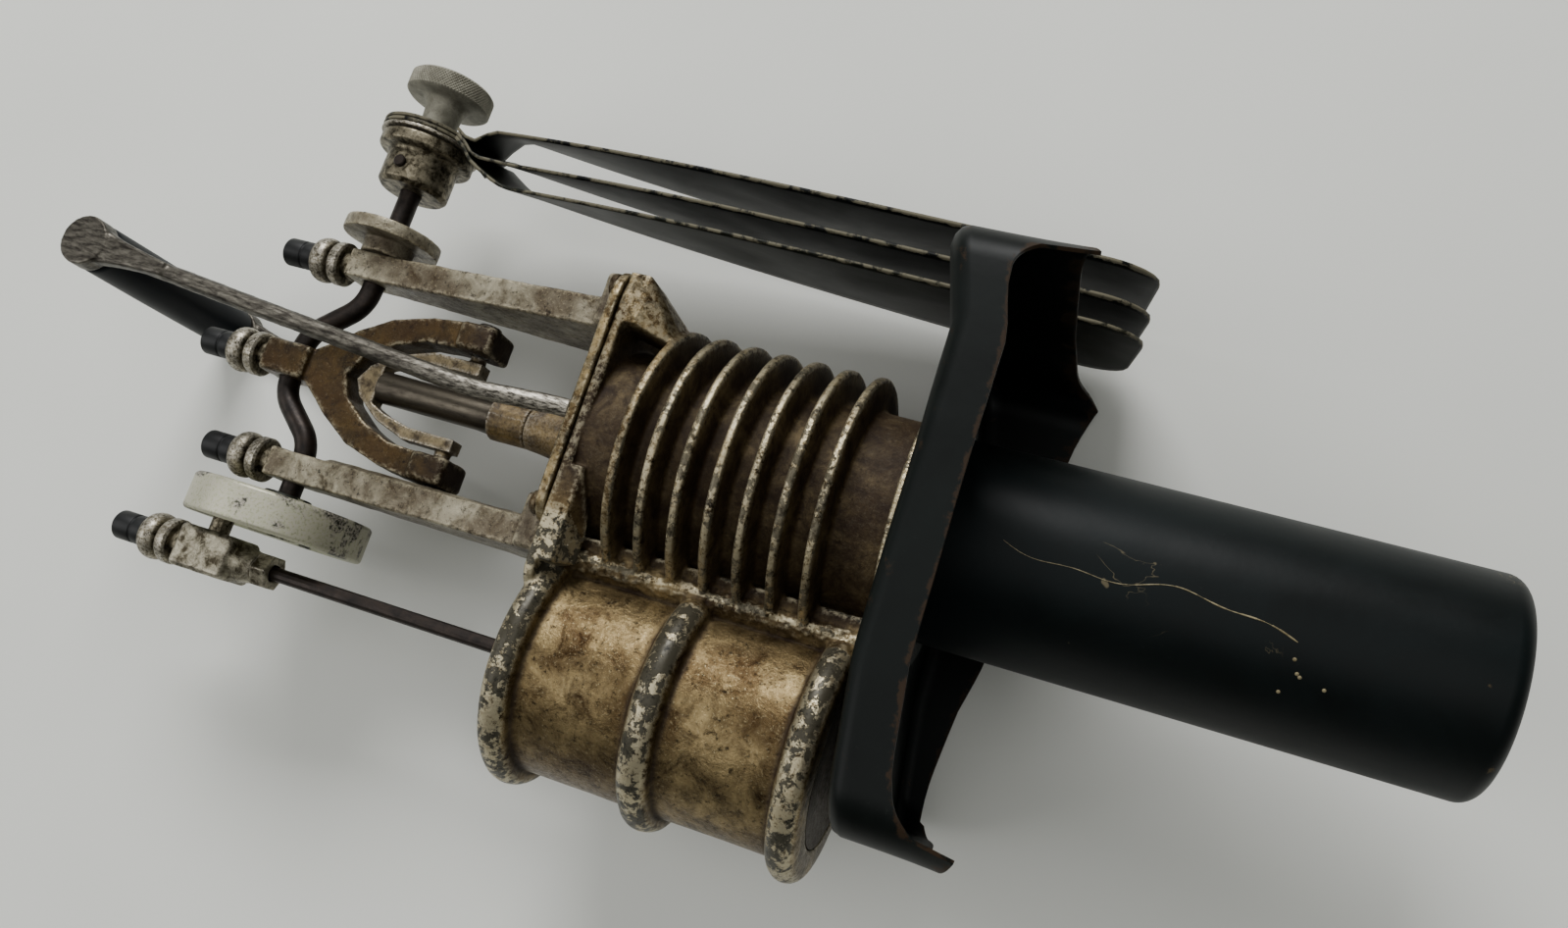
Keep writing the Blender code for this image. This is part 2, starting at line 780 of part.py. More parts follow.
def crankshaft():
    """Round bar bent into one throw, from the disc to the thumb nut."""
    disc_end = DISC_OUTER_Y + GAP
    knob_end = KNOB_BASE_Y + KNOB_NECK_LENGTH
    pin_x = CRANK_X - CRANK_THROW
    start = PIN_HALF + WEB_RUN
    points = [
        (CRANK_X, disc_end, 0),
        (CRANK_X, -start, 0),
        (pin_x, -PIN_HALF, 0),
        (pin_x, PIN_HALF, 0),
        (CRANK_X, start, 0),
        (CRANK_X, knob_end, 0),
    ]
    shaft = rod("crankshaft", points, SHAFT_RADIUS, DARK_STEEL, bend=0.005)
    return set_origin(shaft, (CRANK_X, 0, 0))


def dowel_place(phase):
    """Half-way from the shaft to a crank pin that stands at this phase."""
    half = CRANK_THROW / 2
    return (CRANK_X - half * math.cos(phase), half * math.sin(phase))


def crank_disc():
    low, high = DISC_OUTER_Y, DISC_OUTER_Y + DISC_THICK
    bore = SHAFT_RADIUS + RUN
    edge = 0.0010
    profile = [
        (bore, high + DISC_HUB_STEP),
        (BOSS_RADIUS, high + DISC_HUB_STEP),
        (BOSS_RADIUS, high),
        (DISC_RADIUS - edge, high),
        (DISC_RADIUS, high - edge),
        (DISC_RADIUS, low + edge),
        (DISC_RADIUS - edge, low),
        (bore, low),
    ]
    disc = turned("crank_disc", profile, "Y", (CRANK_X, 0, 0), STEEL, FINE, ring=True)
    holes = {
        "displacer_dowel": (*dowel_place(0), DOWEL_RADIUS),
        "power_dowel": (*dowel_place(POWER_PHASE), DOWEL_RADIUS),
        "power_crank_pin": (POWER_PIN_X, POWER_PIN_Z, POWER_PIN_RADIUS),
    }
    for name, (x, z, radius) in holes.items():
        low_cut, high_cut = low - 0.001, high + 0.003
        cutter = cylinder(
            name + "_hole", radius + RUN, low_cut, high_cut, "Y", (x, 0, z), None, SMALL
        )
        cut(disc, cutter)
    return disc


def dowels():
    """Two round dowels in the disc, on the lines from the shaft to the two crank pins."""
    low = DISC_OUTER_Y + DISC_THICK / 2
    high = DISC_OUTER_Y + DISC_THICK - 0.001
    displacer_x, displacer_z = dowel_place(0)
    power_x, power_z = dowel_place(POWER_PHASE)
    cylinder(
        "dowel_displacer", DOWEL_RADIUS, low, high, "Y", (displacer_x, 0, displacer_z), STEEL, SMALL
    )
    low, high = DISC_OUTER_Y + 0.001, DISC_OUTER_Y + DISC_THICK / 2 - 0.001
    cylinder("dowel_power", DOWEL_RADIUS, low, high, "Y", (power_x, 0, power_z), STEEL, SMALL)


def power_crank_pin():
    low = DISC_OUTER_Y - POWER_PIN_LENGTH
    high = DISC_OUTER_Y + DISC_THICK - 0.001
    origin = (POWER_PIN_X, 0, POWER_PIN_Z)
    return cylinder("power_crank_pin", POWER_PIN_RADIUS, low, high, "Y", origin, STEEL, SMALL)


# --- Fan ---------------------------------------------------------------------------------


def fan_hub():
    bore = SHAFT_RADIUS + RUN
    edge = 0.0008
    profile = [
        (bore, HUB_TOP_Y),
        (HUB_FLANGE_RADIUS - edge, HUB_TOP_Y),
        (HUB_FLANGE_RADIUS, HUB_TOP_Y - edge),
        (HUB_FLANGE_RADIUS, HUB_FLANGE_Y),
        (HUB_BOSS_RADIUS, HUB_FLANGE_Y),
        (HUB_BOSS_RADIUS, HUB_BASE_Y + edge),
        (HUB_BOSS_RADIUS - edge, HUB_BASE_Y),
        (bore, HUB_BASE_Y),
    ]
    return turned("fan_hub", profile, "Y", (CRANK_X, 0, 0), NICKEL, FINE, ring=True)


def smooth(value):
    value = min(1.0, max(0.0, value))
    return value * value * (3 - 2 * value)


def blade_section(radius, rise):
    """Half chord, pitch and height above the eye at this radius from the shaft."""
    neck_end = EYE_RADIUS * 2.3
    share = (radius - neck_end) / (BLADE_TIP_RADIUS - neck_end)
    share = min(1.0, max(0.0, share))
    chord = BLADE_ROOT_CHORD + (BLADE_TIP_CHORD - BLADE_ROOT_CHORD) * share ** 0.55
    onset = smooth((radius - EYE_RADIUS * 1.15) / (neck_end - EYE_RADIUS * 1.15))
    pitch = (BLADE_ROOT_PITCH + (BLADE_TIP_PITCH - BLADE_ROOT_PITCH) * share) * onset
    return chord / 2, pitch, rise * onset


def blade_stations():
    """Distances from the shaft at which a blade's section is set, closer together at its bends."""
    shares = (0.0, 0.03, 0.06, 0.10, 0.14, 0.20, 0.35, 0.52, 0.70, 0.86, 0.95, 0.985, 1.0)
    start = EYE_RADIUS * 0.9
    return [start + (BLADE_TIP_RADIUS - start) * share for share in shares]


def blade(number):
    """Pressed sheet blade: a flat eye, an S-bend and a pitched, widening blade with a round tip."""
    name = f"blade_{number + 1}"
    eye_y = HUB_TOP_Y + GAP + BLADE_SHEET / 2 + (2 - number) * BLADE_STEP
    rise = BLADE_RISES[number]
    tip_round = 0.020
    across = (-1.0, -0.55, 0.0, 0.55, 1.0)
    points, faces = [], []
    for radius in blade_stations():
        half, pitch, height = blade_section(radius, rise)
        left = BLADE_TIP_RADIUS - radius
        if left < tip_round:
            half -= tip_round * (1 - math.sqrt(1 - (1 - left / tip_round) ** 2)) * 0.9
        for share in across:
            offset = half * share
            points.append((radius, height - offset * math.sin(pitch), offset * math.cos(pitch)))
    row = len(across)
    for i in range(len(blade_stations()) - 1):
        for j in range(row - 1):
            a = i * row + j
            faces.append((a, a + 1, a + row + 1, a + row))
    mesh = bpy.data.meshes.new(name)
    mesh.from_pydata(points, [], faces)
    obj = add_mesh(name, mesh, ENAMEL)
    sheet = obj.modifiers.new("sheet", "SOLIDIFY")
    sheet.thickness = BLADE_SHEET
    sheet.offset = 0
    obj.location = (CRANK_X, eye_y, 0)
    obj.rotation_euler = (0, BLADE_DIPS[number], 0)
    low, high = eye_y - BLADE_SHEET / 2, eye_y + BLADE_SHEET / 2
    eye = cylinder(name + "_eye", EYE_RADIUS, low, high, "Y", (CRANK_X, 0, 0), ENAMEL, FINE)
    join(obj, eye)
    bore = SHAFT_RADIUS + RUN
    hole = cylinder(name + "_hole", bore, low - 0.01, high + 0.01, "Y", (CRANK_X, 0, 0), None)
    cut(obj, hole)
    return obj


def thumb_nut():
    """Knurled nut with a tapered neck that clamps the blades on the hub."""
    low = KNOB_BASE_Y
    knob_low = low + KNOB_NECK_LENGTH
    knob_high = knob_low + KNOB_THICK
    bore = SHAFT_RADIUS + RUN
    edge = 0.0010
    roof = knob_low + KNOB_THICK / 2
    profile = [
        (0, knob_high),
        (KNOB_RADIUS - edge, knob_high),
        (KNOB_RADIUS, knob_high - edge),
        (KNOB_RADIUS, knob_low + edge),
        (KNOB_RADIUS - edge, knob_low),
        (KNOB_NECK_RADIUS - 0.001, knob_low),
        (KNOB_NECK_RADIUS + 0.001, low),
        (bore, low),
        (bore, roof),
        (0, roof),
    ]
    return turned("thumb_nut", profile, "Y", (CRANK_X, 0, 0), NICKEL, FINE)


# --- Displacer gear ----------------------------------------------------------------------


def mirrored(half):
    """A closed outline from its upper half, which runs from the axis round to the axis."""
    lower = [(x, -y) for x, y in reversed(half) if y > 0]
    return half + lower


def displacer_fork():
    """Connecting rod: a big end on the crank and two curved arms to the crosshead's pivots."""
    pin = FORK_PIN_X
    end = FORK_END_X
    block = BIG_END_HALF
    half_width = BIG_END_WIDTH / 2
    half = [
        (pin - block, half_width),
        (pin + block, half_width),
        (pin + block + 0.004, 0.0090),
        (pin + 0.0230, 0.0165),
        (pin + 0.0360, 0.0245),
        (pin + 0.0520, 0.0290),
        (pin + 0.0630, FORK_OUTER_Y),
        (end, FORK_OUTER_Y),
        (end, FORK_INNER_Y),
        (pin + 0.0620, FORK_INNER_Y),
        (pin + 0.0520, 0.0195),
        (pin + 0.0400, 0.0150),
        (pin + 0.0300, 0.0080),
        (pin + 0.0260, 0.0),
    ]
    outline = half + [(x, -y) for x, y in reversed(half[:-1])]
    fork = flat("displacer_fork", outline, FORK_HALF_Z, CAST)
    for side in (-1, 1):
        low_y, high_y = sorted((side * FORK_INNER_Y, side * FORK_OUTER_Y))
        end_block = box(
            f"fork_end_{side + 1}",
            (end - FORK_END_LENGTH, low_y + 0.0002, -FORK_END_HALF_Z),
            (end + 0.0002, high_y, FORK_END_HALF_Z),
            CAST,
            0.0010,
        )
        join(fork, end_block)
    big_end = box(
        "fork_big_end",
        (pin - block - 0.0002, -half_width - 0.0002, -0.0088),
        (pin + block, half_width + 0.0002, 0.0088),
        CAST,
        0.0010,
    )
    join(fork, big_end)
    bore = cylinder(
        "fork_bore", SHAFT_RADIUS + RUN, -0.03, 0.03, "Y", (pin, 0, 0), None, MEDIUM
    )
    cut(fork, bore)
    pivot_x = end - FORK_END_LENGTH / 2
    pivot = cylinder(
        "fork_pivot_bore", PIVOT_RADIUS + RUN, -0.05, 0.05, "Y", (pivot_x, 0, 0), None, SMALL
    )
    cut(fork, pivot)
    return set_origin(fork, (pin, 0, 0))


def fork_pivots():
    """Shouldered screws in the fork's ends, short of the crosshead so that each turns by itself."""
    pivot_x = FORK_END_X - FORK_END_LENGTH / 2
    for name, axis in (("fork_screw_fan_side", "Y"), ("fork_screw_disc_side", "-Y")):
        head_low = FORK_OUTER_Y + GAP
        profile = [
            (0, head_low + FORK_SCREW_HEAD),
            (SCREW_HEAD_RADIUS, head_low + FORK_SCREW_HEAD),
            (SCREW_HEAD_RADIUS, head_low),
            (PIVOT_RADIUS, head_low),
            (PIVOT_RADIUS, FORK_INNER_Y + GAP),
            (0, FORK_INNER_Y + GAP),
        ]
        turned(name, profile, axis, (pivot_x, 0, 0), STEEL, SMALL)


def crosshead():
    """Thin U-shaped yoke inside the fork, with a pivot stud at each end of its arms."""
    pin = FORK_PIN_X
    pivot_x = FORK_END_X - FORK_END_LENGTH / 2
    arm_y = FORK_INNER_Y - 0.0030
    wall = YOKE_WALL
    half = [
        (pin + 0.0290, 0.0),
        (pin + 0.0325, 0.0060),
        (pin + 0.0425, 0.0128),
        (pin + 0.0550, arm_y),
        (pivot_x + 0.0040, arm_y),
        (pivot_x + 0.0040, arm_y - wall),
        (pin + 0.0560, arm_y - wall),
        (pin + 0.0450, 0.0098),
        (pin + 0.0290 + 2 * wall, ROD_RADIUS + 0.0012),
        (pin + 0.0290 + 2 * wall, 0.0),
    ]
    outline = half + [(x, -y) for x, y in reversed(half[1:-1])]
    yoke = flat("crosshead_yoke", outline, YOKE_HALF_Z, STEEL)
    for side in (-1, 1):
        low_y, high_y = sorted((side * (arm_y - wall / 2), side * (FORK_INNER_Y - GAP)))
        stud = cylinder(
            f"yoke_stud_{side + 1}", PIVOT_RADIUS, low_y, high_y, "Y", (pivot_x, 0, 0), None, SMALL
        )
        join(yoke, stud)
    return set_origin(yoke, (pin, 0, 0))


def displacer_rod():
    start = FORK_PIN_X + 0.0290 + 2 * YOKE_WALL + GAP
    end = CAST_FACE_X + 0.0060
    return cylinder("displacer_rod", ROD_RADIUS, start, end, "X", (0, 0, 0), STEEL, MEDIUM)


def displacer():
    """Thin can that shuttles between the hot tube and the cold cylinder, with its lid on the rod."""
    travel = 2 * CRANK_THROW
    hot = -TUBE_WALL - HEAD_CLEAR - travel
    cold = CAST_FACE_X + 0.0063
    outer = DISPLACER_RADIUS
    inner = outer - DISPLACER_WALL
    lid_front = cold + DISPLACER_LID
    can = [
        (0, hot),
        (outer, hot),
        (outer, lid_front + GAP),
        (inner, lid_front + GAP),
        (inner, hot - DISPLACER_WALL),
        (0, hot - DISPLACER_WALL),
    ]
    turned("displacer_can", can, "X", (0, 0, 0), DARK_STEEL, MEDIUM)
    cylinder("displacer_lid", outer, cold, lid_front, "X", (0, 0, 0), DARK_STEEL, MEDIUM)


# --- Power gear --------------------------------------------------------------------------


def power_rod_head():
    """Big end on the power crank pin, with its tapered collar."""
    centre = (POWER_PIN_X, -POWER_OFFSET, POWER_PIN_Z)
    low_y, high_y = -POWER_OFFSET - 0.0078, -POWER_OFFSET + 0.0078
    head = box(
        "power_rod_head",
        (POWER_PIN_X - BIG_END_HALF, low_y, POWER_PIN_Z - 0.0088),
        (POWER_PIN_X - BIG_END_HALF + POWER_BLOCK_LENGTH, high_y, POWER_PIN_Z + 0.0088),
        NICKEL,
        0.0012,
    )
    start = POWER_BLOCK_LENGTH - BIG_END_HALF - 0.002
    collar = turned(
        "power_rod_collar",
        [
            (0, start + COLLAR_LENGTH + 0.002),
            (0.0055, start + COLLAR_LENGTH + 0.002),
            (0.0078, start),
            (0, start),
        ],
        "X",
        centre,
        NICKEL,
        MEDIUM,
    )
    join(head, collar)
    bore = cylinder(
        "power_head_bore",
        POWER_PIN_RADIUS + RUN,
        -0.05,
        0.05,
        "Y",
        centre,
        None,
        MEDIUM,
    )
    cut(head, bore)
    return set_origin(head, centre)


def power_rod():
    """Long thin rod with its lock nut and the small end in the piston."""
    centre_y = -POWER_OFFSET
    start = POWER_PIN_X + POWER_BLOCK_LENGTH - BIG_END_HALF + COLLAR_LENGTH + GAP
    nut_origin = (start, centre_y, POWER_PIN_Z)
    bore = (POWER_ROD_RADIUS + RUN) / math.cos(math.pi / 6)
    nut = turned(
        "lock_nut",
        [
            (bore, LOCK_NUT_LENGTH),
            (LOCK_NUT_RADIUS, LOCK_NUT_LENGTH),
            (LOCK_NUT_RADIUS, 0),
            (bore, 0),
        ],
        "X",
        nut_origin,
        NICKEL,
        6,
        ring=True,
    )
    nut.name = "lock_nut"
    shaft = cylinder(
        "power_rod", POWER_ROD_RADIUS, 0, POWER_EYE_X - start, "X", nut_origin, DARK_STEEL, SMALL
    )
    eye_origin = (POWER_EYE_X, centre_y, POWER_PIN_Z)
    eye = cylinder(
        "power_rod_eye", POWER_EYE_RADIUS, -0.0035, 0.0035, "Y", eye_origin, None, MEDIUM
    )
    join(shaft, eye)
    hole = cylinder(
        "power_eye_bore", PIVOT_RADIUS - 0.0005, -0.01, 0.01, "Y", eye_origin, None, SMALL
    )
    return cut(shaft, hole)


def power_piston():
    """Trunk piston, open towards the crank, with a gudgeon boss each side of the small end."""
    outer = POWER_BORE - RUN
    inner = outer - PISTON_WALL
    crown = POWER_EYE_X + POWER_EYE_RADIUS + 0.0060
    mouth = crown + PISTON_CROWN - PISTON_LENGTH
    profile = [
        (0, crown + PISTON_CROWN),
        (outer, crown + PISTON_CROWN),
        (outer, mouth),
        (inner, mouth),
        (inner, crown),
        (0, crown),
    ]
    piston = turned("power_piston", profile, "X", (0, -POWER_OFFSET, 0), DARK_STEEL, FINE)
    for side in (-1, 1):
        near, far = 0.0035 + GAP, inner + PISTON_WALL / 2
        low_y, high_y = sorted((side * near, side * far))
        stud = cylinder(
            f"gudgeon_{side + 1}",
            PIVOT_RADIUS,
            low_y,
            high_y,
            "Y",
            (POWER_EYE_X, -POWER_OFFSET, 0),
            None,
            SMALL,
        )
        join(piston, stud)
    return piston


# --- Handle and screws -------------------------------------------------------------------


def handle():
    """Stirrup handle: two bent rods with eyes, and a grip on a stud between them."""
    reach = GRIP_LENGTH / 2 + GAP
    for name, side in (("handle_rod_upper", 1), ("handle_rod_lower", -1)):
        eye_z = side * (reach + HANDLE_EYE_THICK / 2)
        points = [
            (PLATE_FACE_X - GAP, HANDLE_FOOT_Y, side * HANDLE_FOOT_Z),
            (PLATE_FACE_X - HANDLE_STUB, HANDLE_FOOT_Y, side * HANDLE_FOOT_Z),
            (PLATE_FACE_X - HANDLE_BEND_REACH, HANDLE_FOOT_Y - 0.003, side * HANDLE_BEND_Z),
            (GRIP_X, GRIP_Y, eye_z),
        ]
        arm = rod(name, points, HANDLE_ROD_RADIUS, STEEL)
        eye = cylinder(
            name + "_eye",
            GRIP_RADIUS,
            eye_z - HANDLE_EYE_THICK / 2,
            eye_z + HANDLE_EYE_THICK / 2,
            "Z",
            (GRIP_X, GRIP_Y, 0),
            STEEL,
            MEDIUM,
        )
        join(arm, eye)
    edge = 0.0015
    half = GRIP_LENGTH / 2
    profile = [
        (0, half),
        (GRIP_RADIUS - edge, half),
        (GRIP_RADIUS, half - edge),
        (GRIP_RADIUS, edge - half),
        (GRIP_RADIUS - edge, -half),
        (0, -half),
    ]
    turned("handle_grip", profile, "Z", (GRIP_X, GRIP_Y, 0), EBONITE, MEDIUM)


def plate_screws():
    """Round heads that hold the plate to the casting, on the plate's crank side."""
    inset = 0.0060
    places = {
        "plate_screw_1": (PLATE_TOP_Y - inset, PLATE_HALF_Z - inset),
        "plate_screw_2": (PLATE_TOP_Y - inset, inset - PLATE_HALF_Z),
        "plate_screw_3": (PLATE_LOW_Y + inset, PLATE_HALF_Z - inset),
        "plate_screw_4": (PLATE_LOW_Y + inset, inset - PLATE_HALF_Z),
    }
    for name, (y, z) in places.items():
        profile = [
            (0, SCREW_HEAD),
            (SCREW_HEAD_RADIUS - 0.0012, SCREW_HEAD),
            (SCREW_HEAD_RADIUS, SCREW_HEAD / 2),
            (SCREW_HEAD_RADIUS, 0),
            (0, 0),
        ]
        turned(name, profile, "-X", (PLATE_FACE_X - GAP, y, z), STEEL, SMALL)


def build():
    cylinder_casting()
    power_cylinder_cover()
    hot_tube()
    heat_shield()
    top_plate()
    standard("standard_fan_side", FAN_STANDARD_Y, 1)
    standard("standard_disc_side", DISC_STANDARD_Y, 1)
    bearing_flange()
    rod_guide()
    boss_back = CRANK_X - BOSS_RADIUS
    grease_cup("fan_side", boss_back, FAN_STANDARD_Y, 0)
    grease_cup("disc_side", boss_back, DISC_STANDARD_Y, 0)
    grease_cup("fork", FORK_PIN_X - BIG_END_HALF - GAP, 0, 0)
    grease_cup("power_rod", POWER_PIN_X - BIG_END_HALF, -POWER_OFFSET, POWER_PIN_Z)
    crankshaft()
    crank_disc()
    dowels()
    power_crank_pin()
    fan_hub()
    for number in range(len(BLADE_RISES)):
        blade(number)
    thumb_nut()
    displacer_fork()
    fork_pivots()
    crosshead()
    displacer_rod()
    displacer()
    power_rod_head()
    power_rod()
    power_piston()
    handle()
    plate_screws()


build()
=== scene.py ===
"""Looks of the hot-air fan engine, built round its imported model."""

import math
import random

import bmesh
import bpy
import numpy as np
from mathutils import Matrix, Vector, noise


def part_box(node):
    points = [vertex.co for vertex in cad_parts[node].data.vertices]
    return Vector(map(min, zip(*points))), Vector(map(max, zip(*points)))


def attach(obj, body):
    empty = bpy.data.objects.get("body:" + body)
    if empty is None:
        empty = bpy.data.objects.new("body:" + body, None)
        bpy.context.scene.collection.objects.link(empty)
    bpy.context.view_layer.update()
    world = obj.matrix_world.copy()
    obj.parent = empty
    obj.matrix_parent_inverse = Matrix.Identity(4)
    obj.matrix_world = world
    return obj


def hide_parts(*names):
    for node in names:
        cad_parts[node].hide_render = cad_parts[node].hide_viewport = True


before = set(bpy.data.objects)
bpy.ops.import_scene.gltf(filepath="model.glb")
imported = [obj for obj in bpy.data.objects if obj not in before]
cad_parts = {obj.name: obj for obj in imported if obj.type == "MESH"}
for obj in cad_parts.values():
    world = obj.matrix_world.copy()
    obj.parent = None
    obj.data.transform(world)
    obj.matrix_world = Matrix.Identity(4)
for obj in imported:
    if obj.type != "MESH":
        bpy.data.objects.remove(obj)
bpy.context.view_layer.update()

MM = 0.001


def middle(node):
    low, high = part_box(node)
    return (low + high) / 2


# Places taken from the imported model
TUBE_LOW, TUBE_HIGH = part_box("hot_tube")
CAST_LOW, CAST_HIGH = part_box("cylinder_casting")
PLATE_LOW, PLATE_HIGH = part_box("top_plate")
CRANK_X = middle("crank_disc").x
DRUM_Y = middle("power_cylinder_cover").y
SHIELD_LOW, SHIELD_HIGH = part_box("heat_shield")
FACE_X = PLATE_LOW.x

# --- Camera and materials ----------------------------------------------------------------


def add_camera():
    data = bpy.data.cameras.new("camera")
    data.lens = 29.26
    data.sensor_width = 36.0
    data.clip_start = 0.01
    camera = bpy.data.objects.new("camera", data)
    right = Vector((0.9307, 0.3044, -0.2026))
    up = Vector((-0.2476, 0.9324, 0.2635))
    back = right.cross(up)
    turn = Matrix((right, up, back)).transposed().to_4x4()
    camera.matrix_world = Matrix.Translation((-0.1086, -0.0730, 0.4057)) @ turn
    bpy.context.scene.collection.objects.link(camera)
    bpy.context.scene.camera = camera


add_camera()


def srgb(code):
    """Linear colour of an sRGB hex value."""
    channels = [int(code[i : i + 2], 16) / 255 for i in (1, 3, 5)]
    linear = [c / 12.92 if c <= 0.04045 else ((c + 0.055) / 1.055) ** 2.4 for c in channels]
    return (*linear, 1.0)


def node(tree, kind, settings=None, inputs=None):
    """Adds a node. Each input is a value, or the socket that feeds it."""
    made = tree.nodes.new(kind)
    for name, value in (settings or {}).items():
        setattr(made, name, value)
    for name, value in (inputs or {}).items():
        socket = made.inputs[name]
        if isinstance(value, bpy.types.NodeSocket):
            tree.links.new(value, socket)
        else:
            socket.default_value = value
    return made


def ramp(tree, factor, stops, easing="LINEAR"):
    """A colour ramp of (position, value or hex colour) stops."""
    made = node(tree, "ShaderNodeValToRGB", inputs={"Fac": factor})
    made.color_ramp.interpolation = easing
    elements = made.color_ramp.elements
    while len(elements) < len(stops):
        elements.new(0.5)
    for element, (position, value) in zip(elements, stops):
        element.position = position
        element.color = srgb(value) if isinstance(value, str) else (value, value, value, 1)
    return made.outputs["Color"]


def mix(tree, factor, first, second, blend="MIX"):
    made = tree.nodes.new("ShaderNodeMix")
    made.data_type = "RGBA"
    made.blend_type = blend
    for index, value in ((0, factor), (6, first), (7, second)):
        if isinstance(value, bpy.types.NodeSocket):
            tree.links.new(value, made.inputs[index])
        elif isinstance(value, str):
            made.inputs[index].default_value = srgb(value)
        else:
            made.inputs[index].default_value = value
    return made.outputs[2]


def math_node(tree, operation, first, second=0.0):
    made = tree.nodes.new("ShaderNodeMath")
    made.operation = operation
    made.use_clamp = operation in ("ADD", "MULTIPLY_ADD")
    for index, value in ((0, first), (1, second)):
        if isinstance(value, bpy.types.NodeSocket):
            tree.links.new(value, made.inputs[index])
        else:
            made.inputs[index].default_value = value
    return made.outputs[0]


def blank(name):
    """A material with its tree, its shader and object coordinates."""
    made = bpy.data.materials.new(name)
    made.use_nodes = True
    tree = made.node_tree
    shader = tree.nodes["Principled BSDF"]
    place = tree.nodes.new("ShaderNodeTexCoord").outputs["Object"]
    return made, tree, shader, place


def grain(tree, place, size_mm, detail=4.0, rough=0.55, distortion=0.0):
    """Noise whose blotches are about this size."""
    return node(
        tree,
        "ShaderNodeTexNoise",
        inputs={
            "Vector": place,
            "Scale": 1000.0 / size_mm,
            "Detail": detail,
            "Roughness": rough,
            "Distortion": distortion,
        },
    ).outputs["Fac"]


def bump(tree, height, distance_mm, strength=1.0, normal=None):
    inputs = {"Height": height, "Distance": distance_mm * MM, "Strength": strength}
    if normal is not None:
        inputs["Normal"] = normal
    return node(tree, "ShaderNodeBump", inputs=inputs).outputs["Normal"]


def attribute(tree, name):
    return node(tree, "ShaderNodeAttribute", {"attribute_name": name}).outputs["Fac"]


def aged_silver_paint(name="aged_silver_paint", light="#95825c", dark="#2e2111", chip=0.9, grime_and_shade=1.0, metal=0.85, fleck=0.35):
    """Aluminium paint brushed on sand-cast iron: dull gold-grey and mottled, brown with old
    oil and painted shade in its hollows, chipped to dark iron on its ridges and painted
    lighter on them as rubbed paint and painted highlight."""
    made, tree, shader, place = blank(name)
    broad = grain(tree, place, 28, 3, 0.6)
    patches = grain(tree, place, 9, 8, 0.72, 0.5)
    sand = grain(tree, place, 0.9, 3, 0.75)
    specks = grain(tree, place, 2.2, 6, 0.8)
    wear = attribute(tree, "wear")
    hollow = attribute(tree, "grime_and_shade")
    tone = ramp(tree, patches, [(0.34, dark), (0.62, light)])
    stain = ramp(tree, broad, [(0.40, 0.7), (0.60, 0.0)])
    tone = mix(tree, stain, tone, "#33220d")
    soot = ramp(tree, specks, [(0.36, 1.0), (0.45, 0.0)])
    tone = mix(tree, math_node(tree, "MULTIPLY", soot, 0.85), tone, "#140d07")
    flecks = ramp(tree, sand, [(0.58, 0.0), (0.72, fleck)])
    tone = mix(tree, flecks, tone, "#c0b48f")
    # Grime and painted shade: the hollows darken to deep brown, as old oil and as shade.
    dirt_and_shade = math_node(tree, "MULTIPLY", hollow, grime_and_shade)
    dirt_and_shade = math_node(tree, "MULTIPLY", dirt_and_shade, ramp(tree, patches, [(0.25, 1.0), (0.75, 0.62)]))
    tone = mix(tree, dirt_and_shade, tone, "#1d0f02")
    # Ridges painted lighter: rubbed paint and painted highlight.
    edge = math_node(tree, "ADD", specks, math_node(tree, "MULTIPLY", wear, 0.14))
    bright = math_node(tree, "MULTIPLY", ramp(tree, edge, [(0.52, 0.0), (0.62, 0.8)]), wear)
    tone = mix(tree, bright, tone, "#bcb296")
    chips = mix(tree, 0.34, grain(tree, place, 3.6, 9, 0.74, 0.3), grain(tree, place, 19, 3, 0.6))
    flake = math_node(tree, "ADD", chips, math_node(tree, "MULTIPLY", wear, 0.11))
    lost = math_node(tree, "MULTIPLY", ramp(tree, flake, [(0.600, 0.0), (0.612, 1.0)]), wear)
    lost = math_node(tree, "MULTIPLY", lost, chip)
    tone = mix(tree, lost, tone, "#11120e")
    tree.links.new(tone, shader.inputs["Base Color"])
    shine = mix(tree, dirt_and_shade, (metal, metal, metal, 1), (0.1, 0.1, 0.1, 1))
    tree.links.new(mix(tree, lost, shine, (0.2, 0.2, 0.2, 1)), shader.inputs["Metallic"])
    gloss = ramp(tree, specks, [(0.35, 0.50), (0.6, 0.28)])
    gloss = mix(tree, dirt_and_shade, gloss, (0.7, 0.7, 0.7, 1))
    shader.inputs["Specular IOR Level"].default_value = 0.25
    tree.links.new(gloss, shader.inputs["Roughness"])
    height = mix(tree, 0.55, sand, patches)
    height = mix(tree, lost, height, (0.1, 0.1, 0.1, 1))
    tree.links.new(bump(tree, height, 0.5, 0.9), shader.inputs["Normal"])
    return made


